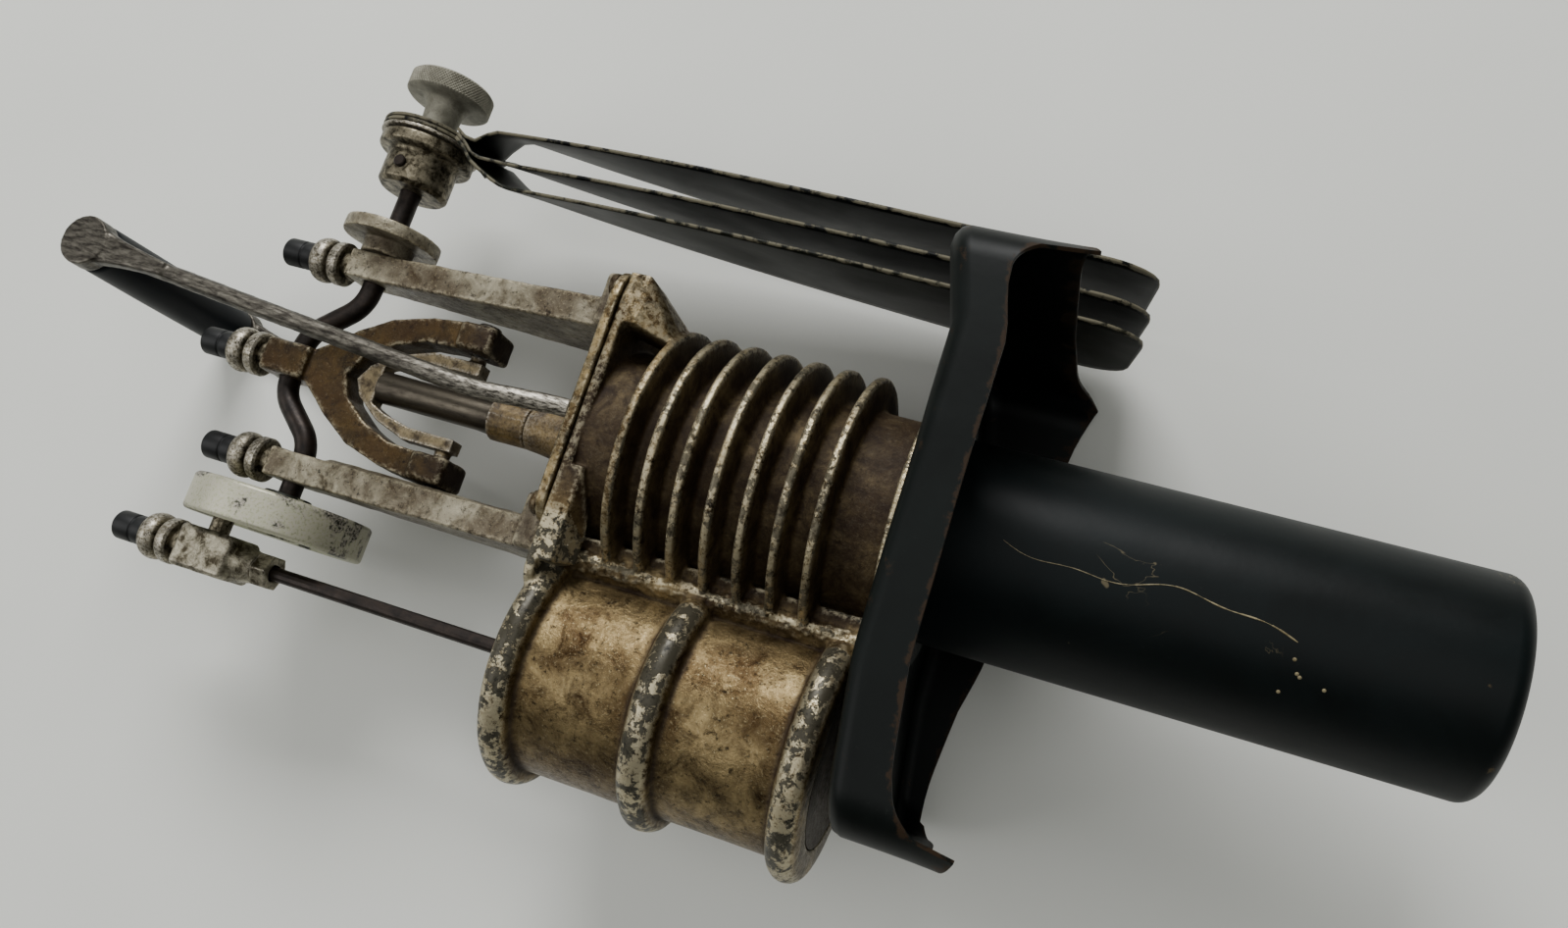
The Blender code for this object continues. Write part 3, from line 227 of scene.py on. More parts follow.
def stove_enamel(name="stove_enamel", face="#040807", cloud="#080f0e", edge="#2c1f12", scratch=0.0):
    """Stoved black-green enamel on sheet steel: satin, faintly clouded, dusty, and rubbed
    through to brown steel at its edges."""
    made, tree, shader, place = blank(name)
    clouds = grain(tree, place, 60, 5, 0.6, 0.6)
    dust = grain(tree, place, 1.6, 3, 0.8)
    rub = grain(tree, place, 6, 6, 0.7)
    wear = attribute(tree, "wear")
    tone = ramp(tree, clouds, [(0.35, face), (0.68, cloud)])
    tone = mix(tree, ramp(tree, dust, [(0.64, 0.0), (0.78, 0.06)]), tone, "#59605a")
    worn = math_node(tree, "ADD", rub, math_node(tree, "MULTIPLY", wear, 0.30))
    worn = ramp(tree, worn, [(0.72, 0.0), (0.80, 1.0)])
    tone = mix(tree, math_node(tree, "MULTIPLY", worn, 0.8), tone, edge)
    if scratch:
        tone = mix(tree, scratches(tree, place, scratch), tone, "#8d8163")
    tree.links.new(tone, shader.inputs["Base Color"])
    gloss = ramp(tree, clouds, [(0.3, 0.38), (0.7, 0.52)])
    gloss = mix(tree, worn, gloss, (0.55, 0.55, 0.55, 1))
    tree.links.new(gloss, shader.inputs["Roughness"])
    shader.inputs["Specular IOR Level"].default_value = 0.14
    peel = grain(tree, place, 2.5, 2, 0.5)
    dents = grain(tree, place, 45, 2, 0.5)
    normal = bump(tree, peel, 0.05, 0.5)
    tree.links.new(bump(tree, dents, 1.2, 0.35, normal), shader.inputs["Normal"])
    return made


def scratches(tree, place, amount):
    """A few thin wandering scratches, and some pale specks."""
    wander = grain(tree, place, 55, 5, 0.62, 1.2)
    line = math_node(tree, "ABSOLUTE", math_node(tree, "SUBTRACT", wander, 0.5))
    thin = ramp(tree, line, [(0.0006, 1.0), (0.0022, 0.0)])
    gate = ramp(tree, grain(tree, place, 40, 2, 0.5), [(0.60, 0.0), (0.64, 1.0)])
    thin = math_node(tree, "MULTIPLY", thin, gate)
    specks = ramp(tree, grain(tree, place, 9, 2, 0.4), [(0.775, 0.0), (0.79, 1.0)])
    return math_node(tree, "MULTIPLY", math_node(tree, "ADD", thin, specks), amount)


def old_steel(name, light, dark, rust, rough=0.42, metal=0.85, size_mm=5.0, edges=(0.36, 0.62), streak=1.0):
    """Bare or oiled steel: scratched, stained brown, with a soft metal gloss."""
    made, tree, shader, place = blank(name)
    drawn = node(tree, "ShaderNodeMapping", inputs={"Vector": place, "Scale": (streak, 1, 1)})
    stain = grain(tree, drawn.outputs["Vector"], size_mm, 7, 0.68, 0.4)
    fine = grain(tree, drawn.outputs["Vector"], 0.9, 4, 0.7)
    wear = attribute(tree, "wear")
    tone = ramp(tree, stain, [(edges[0], dark), (edges[1], light)])
    tone = mix(tree, ramp(tree, fine, [(0.3, 0.5), (0.46, 0.0)]), tone, rust)
    rubbed = math_node(tree, "MULTIPLY", ramp(tree, fine, [(0.42, 0.0), (0.6, 0.9)]), wear)
    tone = mix(tree, rubbed, tone, "#b3ada0")
    tree.links.new(tone, shader.inputs["Base Color"])
    shader.inputs["Metallic"].default_value = metal
    gloss = ramp(tree, stain, [(0.3, min(1.0, rough + 0.18)), (0.7, rough)])
    tree.links.new(gloss, shader.inputs["Roughness"])
    tree.links.new(bump(tree, mix(tree, 0.5, stain, fine), 0.12, 0.6), shader.inputs["Normal"])
    return made


def hard_rubber():
    """Turned ebonite: black gone slightly grey-green, with a dull polish."""
    made, tree, shader, place = blank("hard_rubber")
    bloom = grain(tree, place, 9, 4, 0.6)
    fine = grain(tree, place, 0.8, 3, 0.7)
    tone = ramp(tree, bloom, [(0.35, "#030405"), (0.7, "#080b0c")])
    tone = mix(tree, ramp(tree, fine, [(0.62, 0.0), (0.76, 0.12)]), tone, "#5a5f5c")
    tree.links.new(tone, shader.inputs["Base Color"])
    shader.inputs["Roughness"].default_value = 0.48
    shader.inputs["Specular IOR Level"].default_value = 0.3
    tree.links.new(bump(tree, fine, 0.05, 0.5), shader.inputs["Normal"])
    return made


def painted_table():
    """Matt pale board with a very faint unevenness."""
    made, tree, shader, place = blank("matt_board")
    broad = grain(tree, place, 300, 3, 0.5)
    tone = ramp(tree, broad, [(0.3, "#d3d4ce"), (0.7, "#dcddd7")])
    tree.links.new(tone, shader.inputs["Base Color"])
    shader.inputs["Roughness"].default_value = 0.75
    return made


PAINT = aged_silver_paint()
PAINT_DIRTY = aged_silver_paint("oily_silver_paint", "#4c3b1e", "#120b04", 0.6, 1.0, 0.5, 0.1)
PAINT_CREAM = aged_silver_paint("aged_cream_paint", "#a8a18c", "#463d2c", 0.6, 0.9, 0.45)
ENAMEL = stove_enamel("stove_enamel", "#020504", "#060c0a")
TUBE_ENAMEL = stove_enamel("scratched_tube_enamel", "#030707", "#081011", "#4a3f2c", 0.35)
VARNISH = old_steel("dried_varnish", "#8f8464", "#5e5336", "#3d3220", 0.45, 0.0, 3.0)
BLADE_GREY = stove_enamel("faded_blade_enamel", "#0b0d07", "#13150c", "#6b6655")
BLADE_DARK = stove_enamel("blade_enamel", "#000202", "#020505", "#6b6655")
DARK_STEEL = old_steel("oiled_crank_steel", "#2c231d", "#120c09", "#0c0705", 0.36, 0.6)
ROD_STEEL = old_steel("worn_handle_steel", "#67635a", "#26221d", "#100c08", 0.36, 0.8, 1.6, (0.38, 0.68), 0.3)
SHAFT_STEEL = old_steel("polished_rod_steel", "#5d574c", "#312c26", "#1d1813", 0.28, 0.9, 5.0, (0.3, 0.7), 0.3)
NICKEL = old_steel("pitted_nickel", "#8c8470", "#2c2618", "#0d0a06", 0.34, 0.85, 3.0, (0.40, 0.62))
KNOB_NICKEL = old_steel("dull_knurled_nickel", "#8c897b", "#6a675a", "#3f3c30", 0.50, 0.45, 6.0)
BRONZE = old_steel("tarnished_bronze", "#6f603f", "#241c12", "#120d07", 0.45, 0.7)
YOKE_STEEL = old_steel("forged_yoke_steel", "#7a6d52", "#2b2114", "#150e07", 0.36, 0.7, 4.0)
DISC_NICKEL = old_steel("blotched_disc_steel", "#adad93", "#15180f", "#2a2c20", 0.40, 0.5, 24.0, (0.455, 0.49))
GUIDE_PAINT = old_steel("brown_stained_guide", "#6f5c37", "#2b1e0e", "#180f07", 0.45, 0.4, 5.0)
HEAD_PAINT = old_steel("silvered_rod_head", "#9c9683", "#37301f", "#120d07", 0.34, 0.75, 4.5, (0.40, 0.60))
EBONITE = hard_rubber()
GRIP_RUBBER = stove_enamel("lacquered_grip", "#04080c", "#070d13", "#3a3a38")

# --- Modelling tools ---------------------------------------------------------------------


def object_of(name, mesh, material):
    obj = bpy.data.objects.new(name, mesh)
    bpy.context.scene.collection.objects.link(obj)
    if material is not None:
        mesh.materials.append(material)
    return obj


def shade(obj, angle=38.0):
    """Smooth shading that keeps the edges sharper than this angle."""
    shape = bmesh.new()
    shape.from_mesh(obj.data)
    limit = math.radians(angle)
    for face in shape.faces:
        face.smooth = True
    for edge in shape.edges:
        edge.smooth = len(edge.link_faces) == 2 and edge.calc_face_angle(0.0) < limit
    shape.to_mesh(obj.data)
    shape.free()
    return obj


def rounded(profile, radius, steps=4):
    """A (radius, height) profile with each of its corners off the axis rounded."""
    made = [profile[0]]
    for before, corner, after in zip(profile, profile[1:], profile[2:]):
        corner_at = Vector(corner)
        back, ahead = Vector(before) - corner_at, Vector(after) - corner_at
        reach = min(radius, back.length * 0.45, ahead.length * 0.45)
        if back.normalized().dot(ahead.normalized()) < -0.995 or reach < 1e-6:
            made.append(corner)
            continue
        start = corner_at + back.normalized() * reach
        end = corner_at + ahead.normalized() * reach
        for i in range(steps + 1):
            t = i / steps
            point = start * (1 - t) ** 2 + corner_at * 2 * t * (1 - t) + end * t ** 2
            made.append((point.x, point.y))
    made.append(profile[-1])
    return made


AXES = {
    "X": Matrix.Rotation(math.pi / 2, 4, "Y"),
    "-X": Matrix.Rotation(-math.pi / 2, 4, "Y"),
    "Y": Matrix.Rotation(-math.pi / 2, 4, "X"),
    "-Y": Matrix.Rotation(math.pi / 2, 4, "X"),
    "Z": Matrix.Identity(4),
}


def lathe(name, profile, axis, origin, material, steps=96, ring=False):
    """Turns a (radius, height) profile about an axis; a ring's profile closes on itself."""
    shape = bmesh.new()
    rows = []
    for radius, height in profile:
        if radius < 1e-7:
            rows.append([shape.verts.new((0, 0, height))])
            continue
        row = []
        for i in range(steps):
            angle = 2 * math.pi * i / steps
            row.append(shape.verts.new((radius * math.cos(angle), radius * math.sin(angle), height)))
        rows.append(row)
    pairs = list(zip(rows, rows[1:]))
    if ring:
        pairs.append((rows[-1], rows[0]))
    for first, second in pairs:
        for i in range(steps):
            j = (i + 1) % steps
            if len(first) == 1 and len(second) == 1:
                continue
            if len(first) == 1:
                shape.faces.new((first[0], second[i], second[j]))
            elif len(second) == 1:
                shape.faces.new((first[i], first[j], second[0]))
            else:
                shape.faces.new((first[i], first[j], second[j], second[i]))
    bmesh.ops.recalc_face_normals(shape, faces=shape.faces)
    bmesh.ops.transform(shape, matrix=Matrix.Translation(origin) @ AXES[axis], verts=shape.verts)
    mesh = bpy.data.meshes.new(name)
    shape.to_mesh(mesh)
    shape.free()
    return shade(object_of(name, mesh, material))


def from_curve(obj, material):
    """Makes a closed mesh object of a curve."""
    bpy.context.view_layer.update()
    graph = bpy.context.evaluated_depsgraph_get()
    mesh = bpy.data.meshes.new_from_object(obj.evaluated_get(graph))
    name, matrix = obj.name, obj.matrix_world.copy()
    bpy.data.objects.remove(obj, do_unlink=True)
    shape = bmesh.new()
    shape.from_mesh(mesh)
    bmesh.ops.transform(shape, matrix=matrix, verts=shape.verts)
    bmesh.ops.remove_doubles(shape, verts=shape.verts, dist=1e-6)
    bmesh.ops.recalc_face_normals(shape, faces=shape.faces)
    shape.to_mesh(mesh)
    shape.free()
    mesh.materials.clear()
    made = object_of(name, mesh, material)
    made.name = name
    return shade(made)


def bent_bar(name, points, radius, material, bend=8 * MM, sides=6, sizes=None, flat=None):
    """A bar along straight runs joined by smooth bends; sizes scale its thickness at each point."""
    curve = bpy.data.curves.new(name, "CURVE")
    curve.dimensions = "3D"
    curve.bevel_depth = radius
    curve.bevel_resolution = sides
    curve.use_fill_caps = True
    points = [Vector(p) for p in points]
    sizes = sizes or [1.0] * len(points)
    path, scales = [points[0]], [sizes[0]]
    for index in range(1, len(points) - 1):
        corner = points[index]
        back, ahead = points[index - 1] - corner, points[index + 1] - corner
        reach = min(bend, back.length * 0.48, ahead.length * 0.48)
        start, end = corner + back.normalized() * reach, corner + ahead.normalized() * reach
        for i in range(9):
            t = i / 8
            path.append(start * (1 - t) ** 2 + corner * 2 * t * (1 - t) + end * t ** 2)
            scales.append(sizes[index])
    path.append(points[-1])
    scales.append(sizes[-1])
    spline = curve.splines.new("POLY")
    spline.points.add(len(path) - 1)
    for point, place, scale in zip(spline.points, path, scales):
        point.co = (*place, 1)
        point.radius = scale
    obj = bpy.data.objects.new(name, curve)
    bpy.context.scene.collection.objects.link(obj)
    return from_curve(obj, material)


TURNS = {
    "X": Matrix(((0, 0, 1, 0), (1, 0, 0, 0), (0, 1, 0, 0), (0, 0, 0, 1))),
    "Y": Matrix(((1, 0, 0, 0), (0, 0, -1, 0), (0, 1, 0, 0), (0, 0, 0, 1))),
    "Z": Matrix.Identity(4),
}


def slab(name, outline, low, high, across, material, edge=1.0 * MM, segments=3):
    """An outline extruded across an axis between two stations, with rounded edges.
    Across X it is (Y, Z), across Y it is (X, Z), and across Z it is (X, Y)."""
    curve = bpy.data.curves.new(name, "CURVE")
    curve.dimensions = "2D"
    curve.fill_mode = "BOTH"
    curve.extrude = (high - low) / 2 - edge
    curve.bevel_depth = edge
    curve.bevel_resolution = segments
    curve.offset = -edge
    spline = curve.splines.new("POLY")
    spline.points.add(len(outline) - 1)
    for point, (x, y) in zip(spline.points, outline):
        point.co = (x, y, 0, 1)
    spline.use_cyclic_u = True
    obj = bpy.data.objects.new(name, curve)
    bpy.context.scene.collection.objects.link(obj)
    shift = {"X": ((low + high) / 2, 0, 0), "Y": (0, (low + high) / 2, 0), "Z": (0, 0, (low + high) / 2)}
    obj.matrix_world = Matrix.Translation(shift[across]) @ TURNS[across]
    return from_curve(obj, material)


def block(name, low, high, material, edge=1.0 * MM):
    """A box with rounded edges."""
    outline = [(low[0], low[1]), (high[0], low[1]), (high[0], high[1]), (low[0], high[1])]
    return slab(name, outline, low[2], high[2], "Z", material, edge)


def cast(name, pieces, voxel, rounds, material, lumps=0.0, lump_mm=3.0):
    """Fuses closed pieces into one skin with softly rounded joints, as a casting has."""
    shape = bmesh.new()
    for piece in pieces:
        shape.from_mesh(piece.data)
        bpy.data.objects.remove(piece, do_unlink=True)
    mesh = bpy.data.meshes.new(name)
    shape.to_mesh(mesh)
    shape.free()
    obj = object_of(name, mesh, None)
    fuse = obj.modifiers.new("fuse", "REMESH")
    fuse.mode = "VOXEL"
    fuse.voxel_size = voxel
    if rounds:
        soften = obj.modifiers.new("soften", "SMOOTH")
        soften.iterations = rounds
        soften.factor = 0.5
    bpy.context.view_layer.update()
    graph = bpy.context.evaluated_depsgraph_get()
    made = bpy.data.meshes.new_from_object(obj.evaluated_get(graph))
    bpy.data.objects.remove(obj, do_unlink=True)
    made.materials.clear()
    done = object_of(name, made, material)
    smooth_all(made)
    if lumps:
        push(done, lambda place: noise.noise(place * (1000 / lump_mm)) * lumps)
    return done


def smooth_all(mesh):
    mesh.polygons.foreach_set("use_smooth", [True] * len(mesh.polygons))


def push(obj, rule):
    """Moves each vertex along its normal by the distance that the rule gives for its place."""
    mesh = obj.data
    places = [vertex.co.copy() for vertex in mesh.vertices]
    normals = [vertex.normal.copy() for vertex in mesh.vertices]
    moved = [place + normal * rule(place) for place, normal in zip(places, normals)]
    mesh.vertices.foreach_set("co", [value for place in moved for value in place])
    mesh.update()
    return obj


def paint(obj, name, rule):
    """Stores a 0 to 1 amount at each vertex, from its place."""
    mesh = obj.data
    amounts = mesh.attributes.get(name) or mesh.attributes.new(name, "FLOAT", "POINT")
    values = [min(1.0, max(0.0, rule(vertex.co))) for vertex in mesh.vertices]
    amounts.data.foreach_set("value", values)
    return obj


def ridge(obj, name, scale_mm):
    """Stores how sharply each vertex stands proud of its neighbours."""
    mesh = obj.data
    count = len(mesh.vertices)
    places = np.empty(count * 3)
    mesh.vertices.foreach_get("co", places)
    places = places.reshape(-1, 3)
    normals = np.empty(count * 3)
    mesh.vertices.foreach_get("normal", normals)
    normals = normals.reshape(-1, 3)
    ends = np.empty(len(mesh.edges) * 2, np.int64)
    mesh.edges.foreach_get("vertices", ends)
    a, b = ends.reshape(-1, 2).T
    along = places[b] - places[a]
    length = np.maximum(np.linalg.norm(along, axis=1), 1e-9)
    bend = ((normals[b] - normals[a]) * along).sum(axis=1) / length ** 2
    total, hits = np.zeros(count), np.zeros(count)
    for ends_at in (a, b):
        np.add.at(total, ends_at, bend)
        np.add.at(hits, ends_at, 1)
    value = total / np.maximum(hits, 1)
    for _ in range(3):
        spread, hits = value.copy(), np.ones(count)
        np.add.at(spread, a, value[b])
        np.add.at(spread, b, value[a])
        np.add.at(hits, a, 1)
        np.add.at(hits, b, 1)
        value = spread / hits
    amount = np.clip(value * scale_mm * MM, 0, 1)
    stored = mesh.attributes.get(name) or mesh.attributes.new(name, "FLOAT", "POINT")
    stored.data.foreach_set("value", amount.astype(np.float32))
    # Hollows are stored as grime and painted shade, darker the deeper the crease.
    hollow = np.clip(-value * scale_mm * MM, 0, 1)
    stored = mesh.attributes.get("grime_and_shade") or mesh.attributes.new("grime_and_shade", "FLOAT", "POINT")
    stored.data.foreach_set("value", hollow.astype(np.float32))
    return obj


def fit(obj, body, slot, *nodes):
    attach(obj, body)
    if nodes:
        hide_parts(*nodes)
    return obj


def circle(centre, radius, start=0.0, end=360.0, steps=32):
    points = []
    count = steps if end - start >= 360 else steps + 1
    for i in range(count):
        angle = math.radians(start + (end - start) * i / steps)
        points.append((centre[0] + radius * math.cos(angle), centre[1] + radius * math.sin(angle)))
    return points


def rounded_box(low, high, radius, steps=6):
    left, bottom = low[0] + radius, low[1] + radius
    right, top = high[0] - radius, high[1] - radius
    return (
        circle((right, bottom), radius, -90, 0, steps)
        + circle((right, top), radius, 0, 90, steps)
        + circle((left, top), radius, 90, 180, steps)
        + circle((left, bottom), radius, 180, 270, steps)
    )


# --- Finned casting ----------------------------------------------------------------------

FIN_R, ROOT_R, BORE_R = 46.5 * MM, 35.5 * MM, 31 * MM
DRUM_R, RIM_R, DRUM_BORE = 34.8 * MM, 40.7 * MM, 29 * MM
FINS = [-264.0 * MM + 11.2 * MM * i for i in range(7)]


def fin_profile():
    """Outside and bore of the cold cylinder, closed on itself."""
    outside = [(BORE_R, CAST_HIGH.x), (FIN_R, CAST_HIGH.x), (FIN_R, CAST_HIGH.x - 5.5 * MM)]
    outside.append((ROOT_R, CAST_HIGH.x - 5.5 * MM))
    for at in reversed(FINS):
        outside += [(ROOT_R, at + 2.6 * MM), (FIN_R, at + 1.35 * MM)]
        outside += [(FIN_R, at - 1.35 * MM), (ROOT_R, at - 2.6 * MM)]
    outside += [(ROOT_R, CAST_LOW.x), (BORE_R, CAST_LOW.x)]
    return outside


def drum_rim(at, width=11.0 * MM):
    """Half-round bead of the drum, as profile points from its hot side back."""
    points = []
    for i in range(9):
        angle = math.pi * i / 8
        points.append((DRUM_R + (RIM_R - DRUM_R) * math.sin(angle) ** 0.8, at + math.cos(angle) * width / 2))
    return points


def drum_profile():
    low, high = CAST_LOW.x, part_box("power_cylinder_cover")[1].x
    profile = [(DRUM_BORE, high)]
    profile += drum_rim(high - 5.2 * MM, 10.4 * MM)
    profile += drum_rim((low + high) / 2)
    profile += drum_rim(low + 5.2 * MM, 10.4 * MM)
    profile += [(DRUM_BORE, low)]
    return profile


def finned_casting():
    fins = lathe("fins", fin_profile(), "X", (0, 0, 0), None, 120, True)
    drum = lathe("drum", drum_profile(), "X", (0, DRUM_Y, 0), None, 120, True)
    flange_low = (-56 * MM, 1 * MM - PLATE_HIGH.z)
    flange_high = (PLATE_HIGH.y - 1 * MM, PLATE_HIGH.z - 1 * MM)
    flange = slab(
        "flange", rounded_box(flange_low, flange_high, 9 * MM), CAST_LOW.x, CAST_LOW.x + 3.6 * MM, "X", None
    )
    cut_back(flange, BORE_R, 0)
    seams = []
    for side in (-1, 1):
        seams.append(
            bent_bar(
                f"seam_{side}",
                [(CAST_LOW.x + 2 * MM, -41.5 * MM, side * 19.5 * MM), (CAST_HIGH.x - 7 * MM, -41 * MM, side * 18.5 * MM)],
                3.6 * MM,
                None,
            )
        )
    web = block(
        "web",
        (CAST_LOW.x + 1 * MM, -45.5 * MM, -20 * MM),
        (CAST_HIGH.x - 7 * MM, -33.5 * MM, 20 * MM),
        None,
    )
    body = cast("finned_casting", [fins, drum, flange, web] + seams + corner_bosses(), 0.62 * MM, 3, PAINT)
    push(body, sand_cast_swell)
    age_and_shade_casting(body)
    return fit(body, "frame", "silver_painted_iron", "cylinder_casting")


def wedge(name, points):
    """The convex solid round some points."""
    shape = bmesh.new()
    for point in points:
        shape.verts.new(point)
    bmesh.ops.convex_hull(shape, input=shape.verts)
    bmesh.ops.recalc_face_normals(shape, faces=shape.faces)
    mesh = bpy.data.meshes.new(name)
    shape.to_mesh(mesh)
    shape.free()
    return object_of(name, mesh, None)


def corner_bosses():
    """Thick corners of the flange, which take the screws and taper back to the first fin."""
    made = []
    start, back, fin = CAST_LOW.x + 1 * MM, CAST_LOW.x + 8 * MM, FINS[0]
    edge = PLATE_HIGH.z - 1.2 * MM
    for side in (-1, 1):
        top = [(x, y, side * z) for x in (start, back) for y in (36 * MM, 53.2 * MM) for z in (20 * MM, edge)]
        top += [(fin, y, side * z) for y, z in ((41.5 * MM, 12 * MM), (33 * MM, 12 * MM), (33 * MM, 30 * MM), (38 * MM, 24 * MM))]
        made.append(wedge(f"top_corner_{side}", top))
        low = [(x, y, side * z) for x in (start, back) for y in (-46 * MM, -14 * MM) for z in (26 * MM, edge)]
        low += [(start + 12 * MM, y, side * 27 * MM) for y in (-44 * MM, -34 * MM)]
        made.append(wedge(f"low_corner_{side}", low))
    return made


def cut_back(obj, radius, centre_y):
    """Opens the flange's sheet over the bore."""
    shape = bmesh.new()
    shape.from_mesh(obj.data)
    shape.to_mesh(obj.data)
    shape.free()
    hole = lathe(
        "hole", [(0, 1), (radius, 1), (radius, -1), (0, -1)], "X", (CAST_LOW.x, centre_y, 0), None, 96
    )
    step = obj.modifiers.new("hole", "BOOLEAN")
    step.operation = "DIFFERENCE"
    step.object = hole
    bpy.context.view_layer.update()
    graph = bpy.context.evaluated_depsgraph_get()
    made = bpy.data.meshes.new_from_object(obj.evaluated_get(graph))
    obj.modifiers.clear()
    obj.data = made
    bpy.data.objects.remove(hole, do_unlink=True)


def seam_nearness(place):
    """1 in the rough joint between the fins and the drum, 0 away from it."""
    away = math.hypot(place.y + 40.5 * MM, abs(place.z) - 20 * MM)
    return max(0.0, 1 - away / (8 * MM))


def sand_cast_swell(place):
    lump = 0.0
    near = seam_nearness(place)
    if near > 0:
        lump = noise.turbulence(place * 420, 3, False) * 1.1 * MM * near
    return noise.noise(place * 70) * 0.17 * MM + lump


def age_and_shade_casting(obj):
    ridge(obj, "wear", 2.6)
    mesh = obj.data
    wear, grime_and_shade = mesh.attributes["wear"].data, mesh.attributes["grime_and_shade"].data
    for index, vertex in enumerate(mesh.vertices):
        place = vertex.co
        radius = math.hypot(place.y, place.z)
        near = seam_nearness(place)
        drum_radius = math.hypot(place.y - DRUM_Y, place.z)
        on_fins = place.y > -42 * MM and radius < FIN_R + 1 * MM
        depth = (FIN_R - radius) / (FIN_R - ROOT_R)
        deep = grime_and_shade[index].value * 1.3
        # Painted shade between the fins, with brown oil: darker from the fin rims down to the roots.
        if on_fins:
            deep = max(deep, 0.15 + 1.1 * smooth(depth * 1.4))
        elif drum_radius > DRUM_R + 2.4 * MM and near < 0.1:
            wear[index].value = max(wear[index].value, min(1.0, (drum_radius - DRUM_R - 2.4 * MM) / (2 * MM)))
        # The seam between fins and drum is darkened as well.
        deep = max(deep, near * 0.9)
        # Fin rims: painted lighter, as rubbed paint and painted highlight, and kept clear of the painted shade.
        if on_fins and radius > FIN_R - 1.2 * MM:
            wear[index].value = 0.8
            deep = 0.0
        if place.x < CAST_LOW.x + 22 * MM and place.y > -30 * MM:
            wear[index].value = min(wear[index].value, 0.45)
        grime_and_shade[index].value = min(1.0, max(0.0, deep))


# --- Hot tube and shield -----------------------------------------------------------------


def hot_tube():
    length, radius, nose = -TUBE_LOW.x, 34 * MM, 5.5 * MM
    profile = [(0, 0), (radius - nose * 2, 0)]
    for i in range(11):
        angle = math.pi / 2 * (1 - i / 10)
        profile.append((radius - nose + nose * math.cos(angle), -nose + nose * math.sin(angle)))
    for i in range(1, 13):
        profile.append((radius, -nose - (length - nose - 3 * MM) * i / 12))
    profile += [(43 * MM, 3 * MM - length), (43 * MM, -length), (32 * MM, -length)]
    profile += [(32 * MM, -length / 2), (32 * MM, -8 * MM), (26 * MM, -2 * MM), (0, -2 * MM)]
    tube = lathe("hot_tube_skin", profile, "X", (0, 0, 0), TUBE_ENAMEL, 128)
    paint(tube, "wear", lambda p: 0.35 - abs(p.x + 4 * MM) / (9 * MM))
    return fit(tube, "frame", "black_green_enamel", "hot_tube")


def on_tube(along, turn, radius):
    """A point on the hot tube: the share of its length from the flange, and the angle from +Y."""
    return Vector((TUBE_LOW.x * (1 - along), radius * math.cos(turn), radius * math.sin(turn)))


def varnish_run():
    """A thread of dried varnish that sways down the upper side of the hot tube."""
    radius = 34.05 * MM
    steps = 40
    points = []
    for step in range(steps + 1):
        t = step / steps
        sway = 4 * math.sin(2.2 * math.pi * t) + 1.5 * math.sin(6 * math.pi * t)
        turn = math.radians(92 + 8 * t + sway)
        points.append(on_tube(0.15 + 0.5 * t, turn, radius))
    sizes = [0.2 + 0.8 * abs(math.sin(step * 0.7)) * step / steps for step in range(steps + 1)]
    thread = bent_bar("varnish_thread", points, 0.3 * MM, VARNISH, 4 * MM, 3, sizes)
    paint(thread, "wear", lambda p: 0.0)
    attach(thread, "frame")


def varnish_drops(count=5):
    """Domed drops of the same varnish, scattered past the end of the thread."""
    profile = [(0, 0.3 * MM), (0.35 * MM, 0.22 * MM), (0.55 * MM, 0.08 * MM)]
    profile += [(0.6 * MM, -0.3 * MM), (0, -0.3 * MM)]
    scatter = random.Random(11)
    for index in range(count):
        turn = math.radians(scatter.uniform(106, 130))
        drop = lathe(f"varnish_drop_{index}", profile, "Z", (0, 0, 0), VARNISH, 16)
        place = on_tube(scatter.uniform(0.55, 0.75), turn, 34 * MM)
        lean = Matrix.Rotation(turn - math.pi / 2, 4, "X")
        drop.data.transform(Matrix.Translation(place) @ lean)
        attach(drop, "frame")


SHIELD_MID_Y = (SHIELD_LOW.y + SHIELD_HIGH.y) / 2
HALF_Y = (SHIELD_HIGH.y - SHIELD_LOW.y) / 2 - 1.6 * MM
HALF_Z = SHIELD_HIGH.z - 1.6 * MM


def smooth(value):
    value = min(1.0, max(0.0, value))
    return value * value * (3 - 2 * value)


def shield_edge(corner=13 * MM, runs=26, turns=12):
    """The folded edge in (Y, Z), counter-clockwise, with the outward direction at each point."""
    points = []
    corners = [(1, -1, -90), (1, 1, 0), (-1, 1, 90), (-1, -1, 180)]
    for side_y, side_z, start in corners:
        centre = (SHIELD_MID_Y + side_y * (HALF_Y - corner), side_z * (HALF_Z - corner))
        for i in range(turns + 1):
            angle = math.radians(start + 90 * i / turns)
            away = (math.cos(angle), math.sin(angle))
            points.append((centre[0] + corner * away[0], centre[1] + corner * away[1], away))
    whole = []
    for index, point in enumerate(points):
        whole.append(point)
        follower = points[(index + 1) % len(points)]
        span = math.dist(point[:2], follower[:2])
        if span > 30 * MM:
            for i in range(1, runs):
                t = i / runs
                y = point[0] + (follower[0] - point[0]) * t
                z = point[1] + (follower[1] - point[1]) * t
                whole.append((y, z, point[2]))
    return whole


